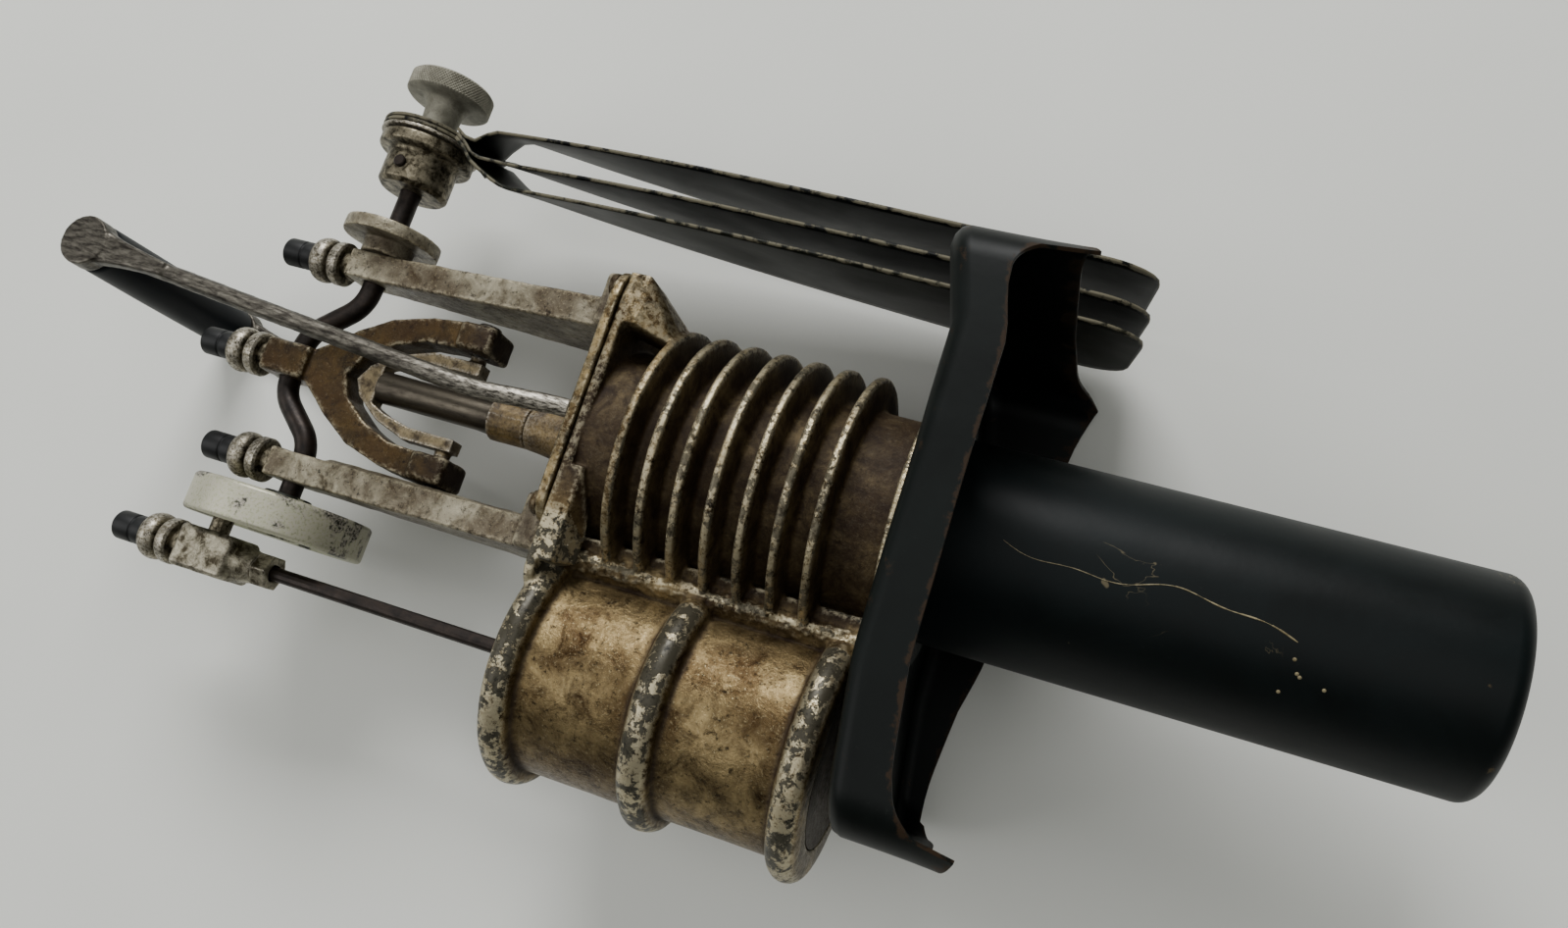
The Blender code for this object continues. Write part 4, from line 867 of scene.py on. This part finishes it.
def skirt_depth(y, z):
    """How far the skirt stands out of the pan here, and how much its rim flares."""
    from_y = HALF_Y - abs(y - SHIELD_MID_Y)
    from_z = HALF_Z - abs(z)
    fan_side, upper = y > SHIELD_MID_Y, z > 0
    long_side = from_z < from_y
    if long_side:
        side = 15.5 * MM if upper else 22 * MM
        if not upper and y < -20 * MM:
            side -= 12 * MM * smooth((-20 * MM - y) / (65 * MM))
        span = 5 * MM if upper or not fan_side else 30 * MM
    else:
        side = 37 * MM if fan_side else 22 * MM
        if not fan_side:
            side += 5 * MM * z / HALF_Z
        span = 13 * MM
    if fan_side:
        tip = 45 * MM if upper else 49 * MM
    else:
        tip = 37 * MM if upper else 10 * MM
    corner = math.exp(-max(from_y, from_z, 0.0) / span)
    depth = side + (tip - side) * corner
    wave = 0.8 * MM * noise.noise(Vector((y * 30, z * 30, 0.0)))
    flare = corner if tip > side else 0.0
    return depth + wave, flare


def shield_lean(y):
    beyond = max(0.0, abs(y) - FIN_R)
    return -0.30 * beyond if y > 0 else 0.13 * beyond


def heat_shield():
    """Square pan in sheet steel with a folded skirt, whose corners flare into tongues."""
    edge = shield_edge()
    count = len(edge)
    base = -TUBE_LOW.x + 0.9 * MM
    fold = 4.5 * MM
    rings, amounts = [], []
    for radius in (34.6 * MM, 40 * MM, 46 * MM, 52 * MM):
        ring = []
        for y, z, _ in edge:
            angle = math.atan2(z, y)
            ring.append((-base, radius * math.cos(angle), radius * math.sin(angle)))
        rings.append(ring)
        amounts.append(0.0)
    for share in (0.25, 0.5, 0.75, 1.0):
        ring = []
        for (y, z, _), inner in zip(edge, rings[3]):
            inset = 1 - fold / HALF_Z
            flat_y = inner[1] + (y * inset - inner[1]) * share
            flat_z = inner[2] + (z * inset - inner[2]) * share
            dent = 0.5 * MM * noise.noise(Vector((flat_y * 25, flat_z * 25, 2.0)))
            ring.append((-base + shield_lean(flat_y) + dent * share, flat_y, flat_z))
        rings.append(ring)
        amounts.append(0.0 if share < 1 else 0.3)
    for turn in (30, 60, 90):
        angle = math.radians(turn)
        ring = []
        for y, z, away in edge:
            inset = 1 - fold / HALF_Z
            y0, z0 = y * inset, z * inset
            y1 = y0 + (y - y0) * math.sin(angle)
            z1 = z0 + (z - z0) * math.sin(angle)
            ring.append((-base + shield_lean(y0) + fold * (1 - math.cos(angle)), y1, z1))
        rings.append(ring)
        amounts.append(0.45)
    levels = (0.12, 0.28, 0.45, 0.62, 0.78, 0.9, 0.97, 1.0)
    for level in levels:
        ring = []
        for y, z, away in edge:
            depth, flare = skirt_depth(y, z)
            x = -base + shield_lean(y) + fold + (depth - fold) * level
            out = (1.2 * flare * level ** 3) * MM
            ring.append((x, y + away[0] * out, z + away[1] * out))
        rings.append(ring)
        amounts.append(smooth((level - 0.7) / 0.3))
    points = [point for ring in rings for point in ring]
    faces = []
    for level in range(len(rings) - 1):
        for i in range(count):
            j = (i + 1) % count
            a, b = level * count, (level + 1) * count
            faces.append((a + i, a + j, b + j, b + i))
    mesh = bpy.data.meshes.new("heat_shield_sheet")
    mesh.from_pydata(points, [], faces)
    obj = object_of("heat_shield_sheet", mesh, ENAMEL)
    shape = bmesh.new()
    shape.from_mesh(mesh)
    bmesh.ops.recalc_face_normals(shape, faces=shape.faces)
    shape.to_mesh(mesh)
    shape.free()
    stored = mesh.attributes.new("wear", "FLOAT", "POINT")
    stored.data.foreach_set("value", [amount for amount in amounts for _ in range(count)])
    sheet = obj.modifiers.new("sheet", "SOLIDIFY")
    sheet.thickness = 1.2 * MM
    sheet.offset = 0
    soften = obj.modifiers.new("edge", "BEVEL")
    soften.width = 0.3 * MM
    soften.segments = 2
    soften.angle_limit = math.radians(50)
    smooth_all(mesh)
    return fit(obj, "frame", "black_green_enamel", "heat_shield")


# --- Blades ------------------------------------------------------------------------------

HUB_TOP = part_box("fan_hub")[1].y
EYE_R, TIP_R, SHEET = 19 * MM, 278 * MM, 1.2 * MM
BLADES = [
    ("blade_1", "crank", 9.0 * MM, math.radians(6.1), 2),
    ("blade_2", "second_blade", -1.0 * MM, math.radians(6.7), 1),
    ("blade_3", "third_blade", -8.5 * MM, math.radians(7.0), 0),
]


def blade_section(radius, rise):
    neck = EYE_R * (1.65 if rise > 0 else 2.3)
    share = min(1.0, max(0.0, (radius - neck) / (TIP_R - neck)))
    chord = 34 * MM + 36 * MM * share ** 0.6
    onset = smooth((radius - EYE_R * 1.05) / (neck - EYE_R * 1.05))
    twist = 6.5 + 19 * math.exp(-max(0.0, radius - EYE_R) / (60 * MM))
    pitch = math.radians(twist) * smooth((radius - EYE_R * 0.88) / (EYE_R * 0.55))
    return chord / 2, pitch, rise * onset


def fan_blade(name, body, rise, dip, layer):
    """Pressed sheet blade with a flat eye, an S-bend and a rounded tip."""
    across = [-1 + 2 * i / 14 for i in range(15)]
    radii = [EYE_R * 0.9 + (TIP_R - EYE_R * 0.9) * (i / 70) for i in range(71)]
    radii = radii[:-1] + [TIP_R - 12 * MM, TIP_R - 6 * MM, TIP_R - 3 * MM, TIP_R - 1 * MM, TIP_R]
    radii = sorted(set(radii))
    points, wear = [], []
    tip_round = 20 * MM
    for radius in radii:
        half, pitch, height = blade_section(radius, rise)
        left = TIP_R - radius
        if left < tip_round:
            half -= tip_round * (1 - math.sqrt(max(0.0, 1 - (1 - left / tip_round) ** 2))) * 0.9
        for share in across:
            offset = half * share
            points.append((radius, height - offset * math.sin(pitch), offset * math.cos(pitch)))
            from_edge = half * (1 - abs(share))
            wear.append(max(0.0, 1 - from_edge / (1.0 * MM)) if left > 1 * MM else 1.0)
    row = len(across)
    faces = []
    for i in range(len(radii) - 1):
        for j in range(row - 1):
            a = i * row + j
            faces.append((a, a + 1, a + row + 1, a + row))
    mesh = bpy.data.meshes.new(name + "_sheet")
    mesh.from_pydata(points, [], faces)
    stored = mesh.attributes.new("wear", "FLOAT", "POINT")
    stored.data.foreach_set("value", wear)
    obj = object_of(name + "_sheet", mesh, BLADE_GREY if layer == 0 else BLADE_DARK)
    sheet = obj.modifiers.new("sheet", "SOLIDIFY")
    sheet.thickness = SHEET
    sheet.offset = 0
    eye_y = HUB_TOP + 0.3 * MM + SHEET / 2 + layer * 1.7 * MM
    place = Matrix.Translation((CRANK_X, eye_y, 0)) @ Matrix.Rotation(dip, 4, "Y")
    mesh.transform(place)
    smooth_all(mesh)
    profile = [(4.4 * MM, SHEET / 2), (EYE_R, SHEET / 2), (EYE_R, -SHEET / 2), (4.4 * MM, -SHEET / 2)]
    eye = lathe(
        name + "_eye", rounded(profile, 0.3 * MM, 2), "Y", (CRANK_X, eye_y, 0), NICKEL if layer == 0 else BLADE_DARK, 96, True
    )
    paint(eye, "wear", lambda p: (math.hypot(p.x - CRANK_X, p.z) - EYE_R + 1.5 * MM) / (1.2 * MM))
    fit(eye, body, "black_green_enamel")
    return fit(obj, body, "black_green_enamel", name)


# --- Cast frame of the engine ------------------------------------------------------------


def solid_copy(node):
    """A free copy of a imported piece's solid, to be fused into a casting."""
    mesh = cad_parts[node].data.copy()
    mesh.materials.clear()
    shape = bmesh.new()
    shape.from_mesh(mesh)
    bmesh.ops.remove_doubles(shape, verts=shape.verts, dist=1e-6)
    shape.to_mesh(mesh)
    shape.free()
    for stored in list(mesh.attributes):
        if stored.name in ("wear", "grime_and_shade"):
            mesh.attributes.remove(stored)
    return object_of(node + "_solid", mesh, None)


def aged_and_shaded(obj, sharp=2.2, hollow=None):
    """Marks ridges for wear, and hollows for grime and painted shade; a rule may add more of that darkening by place.
    """
    ridge(obj, "wear", sharp)
    if hollow:
        grime_and_shade = obj.data.attributes["grime_and_shade"].data
        for stored, vertex in zip(grime_and_shade, obj.data.vertices):
            stored.value = min(1.0, max(stored.value, hollow(vertex.co)))
    return obj


def plate_and_standards():
    plate = cast("face_plate", [solid_copy("top_plate")], 0.7 * MM, 3, PAINT, 0.15 * MM, 9)
    # Grime and painted shade round the middle of the plate, fading out 24 mm from its axis.
    aged_and_shaded(plate, 1.6, lambda p: 0.9 - (math.hypot(p.y, p.z) - 13 * MM) / (12 * MM))
    fit(plate, "frame", "silver_painted_iron", "top_plate")
    for side, sign in (("fan_side", 1), ("disc_side", -1)):
        solids = [solid_copy("standard_" + side)] + standard_details(side, sign)
        arm = cast("standard_casting_" + side, solids, 0.65 * MM, 4, PAINT_CREAM, 0.22 * MM, 7)
        # Grime and painted shade along the arm's foot, by the plate face.
        aged_and_shaded(arm, 1.5, lambda p: 0.75 - abs(p.x - FACE_X + 6 * MM) / (9 * MM))
        fit(arm, "frame", "silver_painted_iron", "standard_" + side)


def standard_details(side, sign):
    """Two raised ribs along the arm's outer face."""
    low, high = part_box("standard_" + side)
    mid_y = (low.y + high.y) / 2 if sign < 0 else 42 * MM
    rib = bent_bar(
        "rib_" + side,
        [(low.x + 24 * MM, mid_y, 5.2 * MM), (high.x - 8 * MM, mid_y, 11 * MM)],
        2.6 * MM,
        None,
    )
    other = bent_bar(
        "rib_low_" + side,
        [(low.x + 24 * MM, mid_y, -5.2 * MM), (high.x - 8 * MM, mid_y, -11 * MM)],
        2.6 * MM,
        None,
    )
    return [rib, other]


def domed_screw(name, centre, radius, height, body, replaced=None):
    """Slotted cheese head pointing to -X, half filled with paint."""
    profile = [(0, height), (radius * 0.62, height * 0.97), (radius * 0.92, height * 0.72)]
    profile += [(radius, height * 0.4), (radius, 0), (0, 0)]
    head = lathe(name, profile, "-X", centre, PAINT_DIRTY, 40)
    cut = block(
        name + "_slot",
        (centre[0] - height * 1.3, centre[1] - radius * 1.2, centre[2] - 0.45 * MM),
        (centre[0] - height * 0.55, centre[1] + radius * 1.2, centre[2] + 0.45 * MM),
        None,
        0.05 * MM,
    )
    subtract(head, cut)
    # The slot darkens with grime and painted shade; the rim gets wear.
    aged_and_shaded(head, 0.6)
    return fit(head, body, "worn_steel", *([replaced] if replaced else []))


def subtract(obj, cutter):
    step = obj.modifiers.new("cut", "BOOLEAN")
    step.operation = "DIFFERENCE"
    step.object = cutter
    bpy.context.view_layer.update()
    graph = bpy.context.evaluated_depsgraph_get()
    made = bpy.data.meshes.new_from_object(obj.evaluated_get(graph))
    material = obj.data.materials[0] if obj.data.materials else None
    obj.modifiers.clear()
    obj.data = made
    made.materials.clear()
    if material:
        made.materials.append(material)
    bpy.data.objects.remove(cutter, do_unlink=True)
    return shade(obj)


def drum_end():
    """Dished end of the power cylinder."""
    low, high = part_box("power_cylinder_cover")
    edge = DRUM_BORE - 0.3 * MM
    profile = [(0, high.x - 1.4 * MM), (edge * 0.55, high.x - 1.1 * MM), (edge * 0.85, high.x - 0.5 * MM)]
    profile += [(edge, high.x - 0.2 * MM), (edge, low.x), (0, low.x)]
    lid = lathe("drum_end", profile, "X", (0, DRUM_Y, 0), PAINT_DIRTY, 96)
    # Grime and painted shade: the dished end darkens towards its rim, inside the drum.
    paint(lid, "grime_and_shade", lambda p: math.hypot(p.y - DRUM_Y, p.z) / edge - 0.55)
    return fit(lid, "frame", "silver_painted_iron", "power_cylinder_cover")


# --- Greasers, hub and nut ---------------------------------------------------------------


def greaser(place, cap_body, ring_body, neck_body=None):
    """Screw-down greaser: black cap on a beaded ring and a turned nut."""
    low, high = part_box("grease_cap_" + place)
    y, z = (low.y + high.y) / 2, (low.z + high.z) / 2
    length, radius = high.x - low.x, (high.y - low.y) / 2
    profile = [(0, length), (radius * 0.55, length), (radius * 0.6, length - 0.35 * MM)]
    profile += [(radius - 0.7 * MM, length - 0.35 * MM), (radius, length - 1.1 * MM)]
    profile += [(radius, length * 0.42), (radius - 0.35 * MM, length * 0.40), (radius - 0.35 * MM, length * 0.36)]
    profile += [(radius, length * 0.34), (radius, 0.4 * MM), (radius - 0.4 * MM, 0), (0, 0)]
    cap = lathe("cap_" + place, rounded(profile, 0.3 * MM, 2), "-X", (high.x, y, z), EBONITE, 56)
    paint(cap, "wear", lambda p: 0.0)
    fit(cap, cap_body, "ebonite", "grease_cap_" + place)
    cap_seat = high.x
    low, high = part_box("nipple_" + place)
    y, z = (low.y + high.y) / 2, (low.z + high.z) / 2
    length = high.x - cap_seat - 0.2 * MM
    profile = [(0, length), (6.2 * MM, length)]
    for i in range(9):
        angle = math.pi * i / 8
        profile.append((6.6 * MM + 2.1 * MM * math.sin(angle), length - 3.9 * MM + 3.6 * MM * math.cos(angle)))
    groove = length - 7.9 * MM
    profile += [(5.2 * MM, groove), (5.2 * MM, groove - 0.7 * MM), (7.9 * MM, groove - 0.9 * MM)]
    profile += [(8.4 * MM, groove - 1.8 * MM), (8.4 * MM, groove - 4.6 * MM), (7.6 * MM, groove - 5.4 * MM)]
    profile += [(5.4 * MM, groove - 5.6 * MM), (5.4 * MM, 0.2 * MM), (0, 0)]
    ring = lathe("ring_" + place, profile, "-X", (high.x, y, z), NICKEL, 64)
    paint(ring, "wear", lambda p: (math.hypot(p.y - y, p.z - z) - 7.4 * MM) / (1 * MM))
    return fit(ring, ring_body, "nickel_plate", "nipple_" + place)


def fan_hub():
    low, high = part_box("fan_hub")
    profile = [(4.2 * MM, high.y), (17.2 * MM, high.y), (18 * MM, high.y - 0.8 * MM)]
    profile += [(18 * MM, high.y - 4.6 * MM), (17 * MM, high.y - 5.5 * MM), (14.2 * MM, high.y - 5.7 * MM)]
    profile += [(13.5 * MM, high.y - 6.8 * MM), (13.5 * MM, low.y + 1.6 * MM), (12 * MM, low.y), (4.2 * MM, low.y)]
    hub = lathe("turned_hub", rounded(profile, 0.5 * MM, 3), "Y", (CRANK_X, 0, 0), NICKEL, 96, True)
    screw = lathe(
        "hub_screw",
        [(0, 15 * MM), (1.9 * MM, 15 * MM), (2.3 * MM, 14.6 * MM), (2.3 * MM, 12 * MM), (0, 12 * MM)],
        "Z",
        (CRANK_X, low.y + 7 * MM, 0),
        DARK_STEEL,
        32,
    )
    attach(screw, "crank")
    paint(hub, "grime_and_shade", lambda p: 0.7 - abs(p.y - high.y + 6 * MM) / (2 * MM))
    return fit(hub, "crank", "nickel_plate", "fan_hub")


def knurled_nut():
    """Brass thumb nut, nickelled, with a diamond knurl cut round its rim."""
    low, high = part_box("thumb_nut")
    radius, thick, turns, rows = 16.4 * MM, 8 * MM, 84, 8
    outline = [(4.3 * MM, 0, 0), (6.4 * MM, 0, 0), (6.6 * MM, 0.6 * MM, 0)]
    neck_top = high.y - low.y - thick
    outline += [(7.4 * MM, neck_top - 3 * MM, 0), (8.6 * MM, neck_top - 0.6 * MM, 0), (10 * MM, neck_top, 0)]
    outline += [(radius - 1.2 * MM, neck_top, 0), (radius - 0.2 * MM, neck_top + 0.8 * MM, 0)]
    knurl_low, knurl_high = neck_top + 1 * MM, neck_top + thick - 1 * MM
    for i in range(rows * 4 + 1):
        outline.append((radius, knurl_low + (knurl_high - knurl_low) * i / (rows * 4), 1))
    outline += [(radius - 0.2 * MM, neck_top + thick - 0.8 * MM, 0), (radius - 1 * MM, neck_top + thick, 0)]
    outline += [(11 * MM, neck_top + thick, 0), (10.4 * MM, neck_top + thick - 0.5 * MM, 0)]
    outline += [(4.4 * MM, neck_top + thick - 0.5 * MM, 0), (4.3 * MM, neck_top + thick - 1 * MM, 0)]
    steps = turns * 8
    shape = bmesh.new()
    rings = []
    pitch = (knurl_high - knurl_low) / rows
    for distance, height, knurl in outline:
        ring = []
        for i in range(steps):
            angle = 2 * math.pi * i / steps
            cut = 0.0
            if knurl:
                one = abs(math.sin(turns * angle / 2 + math.pi * (height - knurl_low) / pitch / 2))
                two = abs(math.sin(turns * angle / 2 - math.pi * (height - knurl_low) / pitch / 2))
                cut = 0.38 * MM * (1 - min(one, two) * 1.15)
            reach = distance - max(0.0, cut)
            place = (CRANK_X + reach * math.cos(angle), low.y + height, -reach * math.sin(angle))
            ring.append(shape.verts.new(place))
        rings.append(ring)
    for first, second in zip(rings, rings[1:] + rings[:1]):
        for i in range(steps):
            j = (i + 1) % steps
            shape.faces.new((first[i], first[j], second[j], second[i]))
    bmesh.ops.recalc_face_normals(shape, faces=shape.faces)
    mesh = bpy.data.meshes.new("knurled_nut")
    shape.to_mesh(mesh)
    shape.free()
    nut = shade(object_of("knurled_nut", mesh, KNOB_NICKEL), 50)
    paint(nut, "grime_and_shade", lambda p: 1.0 if p.y < low.y + neck_top - 0.5 * MM else 0.0)
    return fit(nut, "clamp_nut", "nickel_plate", "thumb_nut")


# --- Crank gear --------------------------------------------------------------------------

THROW, PIN_HALF, WEB_RUN = 18.5 * MM, 12 * MM, 16 * MM


def bent_crankshaft():
    low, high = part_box("crankshaft")
    reach = CRANK_X - THROW
    points = [
        (CRANK_X, high.y, 0),
        (CRANK_X, PIN_HALF + WEB_RUN, 0),
        (reach, PIN_HALF, 0),
        (reach, -PIN_HALF, 0),
        (CRANK_X, -PIN_HALF - WEB_RUN, 0),
        (CRANK_X, low.y, 0),
    ]
    shaft = bent_bar("bent_crankshaft", points, 4 * MM, DARK_STEEL, 7 * MM, 8)
    paint(shaft, "wear", lambda p: 0.0)
    return fit(shaft, "crank", "oiled_steel", "crankshaft")


def crank_disc():
    low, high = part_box("crank_disc")
    thick = high.y - low.y
    profile = [(0, 0.0), (9 * MM, 0.0), (9.6 * MM, 1.2 * MM), (24 * MM, 1.2 * MM), (25 * MM, 0.2 * MM)]
    profile += [(31 * MM, 0.2 * MM), (32 * MM, 1.2 * MM), (32 * MM, thick - 3.0 * MM), (31 * MM, thick - 2 * MM)]
    profile += [(9 * MM, thick - 2 * MM), (8.4 * MM, thick), (0, thick)]
    disc = lathe("turned_crank_disc", rounded(profile, 0.5 * MM, 3), "Y", (CRANK_X, low.y, 0), DISC_NICKEL, 128)
    paint(disc, "wear", lambda p: (math.hypot(p.x - CRANK_X, p.z) - 29 * MM) / (3 * MM))
    return fit(disc, "crank", "nickel_plate", "crank_disc")


def fork_and_yoke():
    fork = cast("fork_casting", [solid_copy("displacer_fork")], 0.6 * MM, 6, PAINT_DIRTY, 0.25 * MM, 6)
    low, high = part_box("displacer_fork")
    # Darker over the last 16 mm towards the fork's +X end.
    aged_and_shaded(fork, 1.3, lambda p: 1.0 - (high.x - p.x) / (16 * MM))
    fit(fork, "fork_rod", "silver_painted_iron", "displacer_fork")
    yoke = cast("yoke_forging", [solid_copy("crosshead_yoke")], 0.5 * MM, 3, YOKE_STEEL, 0.1 * MM, 5)
    aged_and_shaded(yoke, 1.2)
    fit(yoke, "displacer_gear", "worn_steel", "crosshead_yoke")
    for side in ("fan_side", "disc_side"):
        head = cast("fork_pin_" + side, [solid_copy("fork_screw_" + side)], 0.35 * MM, 2, DARK_STEEL, 0.05 * MM, 3)
        aged_and_shaded(head, 0.8)
        fit(head, "fork_rod", "worn_steel", "fork_screw_" + side)


def displacer_gear():
    low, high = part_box("displacer_rod")
    radius = (high.y - low.y) / 2
    profile = [(0, low.x), (radius, low.x), (radius, high.x), (0, high.x)]
    rod = lathe("displacer_rod_turned", rounded(profile, 0.6 * MM, 3), "X", (0, 0, 0), SHAFT_STEEL, 64)
    paint(rod, "wear", lambda p: 0.0)
    fit(rod, "displacer_gear", "oiled_steel", "displacer_rod")
    low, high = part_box("rod_guide")
    length = high.x - low.x
    gland_low, gland_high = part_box("gland_nut")
    inner = radius + 0.35 * MM
    profile = [(inner, 0), (11.2 * MM, 0), (11.2 * MM, 2 * MM), (10.4 * MM, 4.5 * MM)]
    profile += [(8.3 * MM, length - 4 * MM), (8 * MM, length), (inner, length)]
    guide = lathe("cast_guide", rounded(profile, 0.6 * MM, 3), "-X", (high.x, 0, 0), GUIDE_PAINT, 72, True)
    push(guide, lambda p: noise.noise(p * 260) * 0.12 * MM)
    aged_and_shaded(guide, 1.0, lambda p: 0.5 - abs(p.x - high.x) / (10 * MM))
    fit(guide, "frame", "bronze", "rod_guide")
    gland = cast("gland_nut_turned", [solid_copy("gland_nut")], 0.4 * MM, 2, GUIDE_PAINT, 0.05 * MM, 3)
    aged_and_shaded(gland, 0.8)
    fit(gland, "frame", "bronze", "gland_nut")


def power_gear():
    head = cast("power_head_block", [solid_copy("power_rod_head")], 0.45 * MM, 3, HEAD_PAINT, 0.12 * MM, 4)
    low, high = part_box("power_rod_head")
    aged_and_shaded(head, 1.1, lambda p: 0.9 - abs(p.x - low.x - 3 * MM) / (3 * MM))
    fit(head, "power_rod", "worn_steel", "power_rod_head")
    nut = cast("power_lock_nut", [solid_copy("lock_nut")], 0.35 * MM, 2, HEAD_PAINT, 0.05 * MM, 3)
    aged_and_shaded(nut, 0.8)
    fit(nut, "power_rod", "worn_steel", "lock_nut")
    low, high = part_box("power_rod")
    middle_y, middle_z = (low.y + high.y) / 2, (low.z + high.z) / 2
    start, end = Vector((low.x, 0, 0)), Vector((high.x, 0, 0))
    start.y = end.y = DRUM_Y
    radius = 2.6 * MM
    start.z, end.z = high.z - radius, low.z + radius
    if middle("power_rod_head").z < middle_z:
        start.z, end.z = end.z, start.z
    return start, end, middle_y


# --- Handle ------------------------------------------------------------------------------


def teardrop(side):
    """The rod's end spreads to meet its eye round the grip."""
    low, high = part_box("handle_grip")
    eye = (low + high) / 2
    rod_low, rod_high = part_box("handle_rod_" + side)
    z = 44.55 * MM if side == "upper" else -44.55 * MM
    far = Vector((eye.x + 36 * MM, eye.y - 3.0 * MM))
    along = (far - Vector((eye.x, eye.y))).normalized()
    across = Vector((-along.y, along.x))
    start = Vector((eye.x, eye.y)) + along * 3 * MM
    outline = [start + across * 7.4 * MM, start - across * 7.4 * MM]
    for share, half in ((0.25, 5.4), (0.5, 4.1), (0.75, 3.3), (1.0, 2.7)):
        spot = start.lerp(far, share)
        outline.append(spot - across * half * MM)
        outline.insert(0, spot + across * half * MM)
    return slab("teardrop_" + side, [tuple(point) for point in outline], z - 2.6 * MM, z + 2.6 * MM, "Z", None, 1.2 * MM)


def handle():
    for side in ("upper", "lower"):
        rod = cast(
            "forged_rod_" + side,
            [solid_copy("handle_rod_" + side), teardrop(side)],
            0.55 * MM,
            5,
            ROD_STEEL,
            0.16 * MM,
            8,
        )
        low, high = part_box("handle_rod_" + side)
        stored = rod.data.attributes.new("wear", "FLOAT", "POINT")
        near = [max(0.0, 1 - (high.x - vertex.co.x) / (70 * MM)) for vertex in rod.data.vertices]
        stored.data.foreach_set("value", near)
        fit(rod, "frame", "worn_steel", "handle_rod_" + side)
    low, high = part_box("handle_grip")
    radius = (high.x - low.x) / 2
    centre = (low + high) / 2
    length = high.z - low.z
    inner = 3.0 * MM
    profile = [(inner, 0), (radius - 2.4 * MM, 0)]
    for i in range(7):
        angle = math.pi / 2 * i / 6
        profile.append((radius - 2.4 * MM + 2.2 * MM * math.sin(angle), 2.4 * MM - 2.4 * MM * math.cos(angle)))
    for i in range(1, 12):
        share = i / 12
        swell = 0.2 * MM * math.sin(math.pi * share)
        profile.append((radius - 0.2 * MM + swell, 2.4 * MM + (length - 4.8 * MM) * share))
    for i in range(7):
        angle = math.pi / 2 * i / 6
        profile.append((radius - 2.4 * MM + 2.2 * MM * math.cos(angle), length - 2.4 * MM + 2.4 * MM * math.sin(angle)))
    profile += [(inner, length)]
    place = (centre.x, centre.y, low.z)
    grip = lathe("turned_grip", profile, "Z", place, GRIP_RUBBER, 72, True)
    paint(grip, "wear", lambda p: 0.0)
    return fit(grip, "frame", "ebonite", "handle_grip")


def bearing_flange():
    flange = cast("bearing_flange_cast", [solid_copy("bearing_flange")], 0.5 * MM, 3, PAINT_CREAM, 0.12 * MM, 5)
    low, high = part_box("bearing_flange")
    # Darker in a ring 8 mm from the crank axis.
    aged_and_shaded(flange, 1.0, lambda p: 0.9 - abs(math.hypot(p.x - CRANK_X, p.z) - 8 * MM) / (3 * MM))
    return fit(flange, "frame", "silver_painted_iron", "bearing_flange")


# --- Floor and light ---------------------------------------------------------------------


def floor_height(x):
    """The board touches the shield's lower edge and the handle's lower end."""
    shield = (SHIELD_HIGH.x + SHIELD_LOW.x) / 2, SHIELD_LOW.z - 0.6 * MM
    grip_low, grip_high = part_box("handle_rod_lower")
    grip = grip_low.x + 9 * MM, grip_low.z - 0.4 * MM
    slope = (grip[1] - shield[1]) / (grip[0] - shield[0])
    return shield[1] + slope * (x - shield[0]), slope


def studio():
    height, slope = floor_height(-200 * MM)
    mesh = bpy.data.meshes.new("board")
    shape = bmesh.new()
    bmesh.ops.create_grid(shape, x_segments=2, y_segments=2, size=4.0)
    shape.to_mesh(mesh)
    shape.free()
    board = object_of("board", mesh, painted_table())
    board.location = (-200 * MM, 0, height)
    board.rotation_euler = (0, -math.atan(slope), 0)
    world = bpy.data.worlds.new("soft_room")
    bpy.context.scene.world = world
    world.use_nodes = True
    background = world.node_tree.nodes["Background"]
    background.inputs["Color"].default_value = srgb("#e9ece4")
    background.inputs["Strength"].default_value = 0.24
    lamps = (
        ("window", (-0.8, 2.0, 1.75), (1.3, 1.0), 78.0),
        ("fill", (-1.9, -0.5, 1.7), (1.6, 1.6), 22.0),
        ("ceiling", (0.2, -0.3, 2.6), (2.4, 2.4), 22.0),
    )
    for name, place, size, power in lamps:
        data = bpy.data.lights.new(name, "AREA")
        data.shape = "RECTANGLE"
        data.size, data.size_y = size
        data.energy = power
        lamp = bpy.data.objects.new(name, data)
        lamp.location = place
        aim = Vector((-0.22, 0.0, 0.0)) - lamp.location
        lamp.rotation_euler = aim.to_track_quat("-Z", "Y").to_euler()
        bpy.context.scene.collection.objects.link(lamp)


def finish_cad():
    """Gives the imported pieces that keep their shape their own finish."""
    looks = {
        DARK_STEEL: ["power_rod", "power_piston", "displacer_can", "displacer_lid"],
        NICKEL: ["power_crank_pin", "dowel_displacer", "dowel_power"],
    }
    for material, names in looks.items():
        for name in names:
            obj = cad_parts[name]
            obj.data.materials.clear()
            obj.data.materials.append(material)


def screws():
    for number in range(1, 5):
        name = f"plate_screw_{number}"
        low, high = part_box(name)
        radius = (high.y - low.y) / 2
        reach = max(1.2 * MM, PLATE_LOW.x - low.x)
        domed_screw(
            f"painted_screw_{number}", (low.x + reach, (low.y + high.y) / 2, (low.z + high.z) / 2), radius, reach, "frame", name
        )


def main():
    studio()
    finish_cad()
    finned_casting()
    drum_end()
    plate_and_standards()
    bearing_flange()
    screws()
    hot_tube()
    varnish_run()
    varnish_drops()
    heat_shield()
    for blade in BLADES:
        fan_blade(*blade)
    greaser("fan_side", "cap_fan_side", "frame")
    greaser("disc_side", "cap_disc_side", "frame")
    greaser("fork", "cap_fork", "fork_rod")
    greaser("power_rod", "cap_power_rod", "power_rod")
    fan_hub()
    knurled_nut()
    bent_crankshaft()
    crank_disc()
    fork_and_yoke()
    displacer_gear()
    power_gear()
    handle()


main()
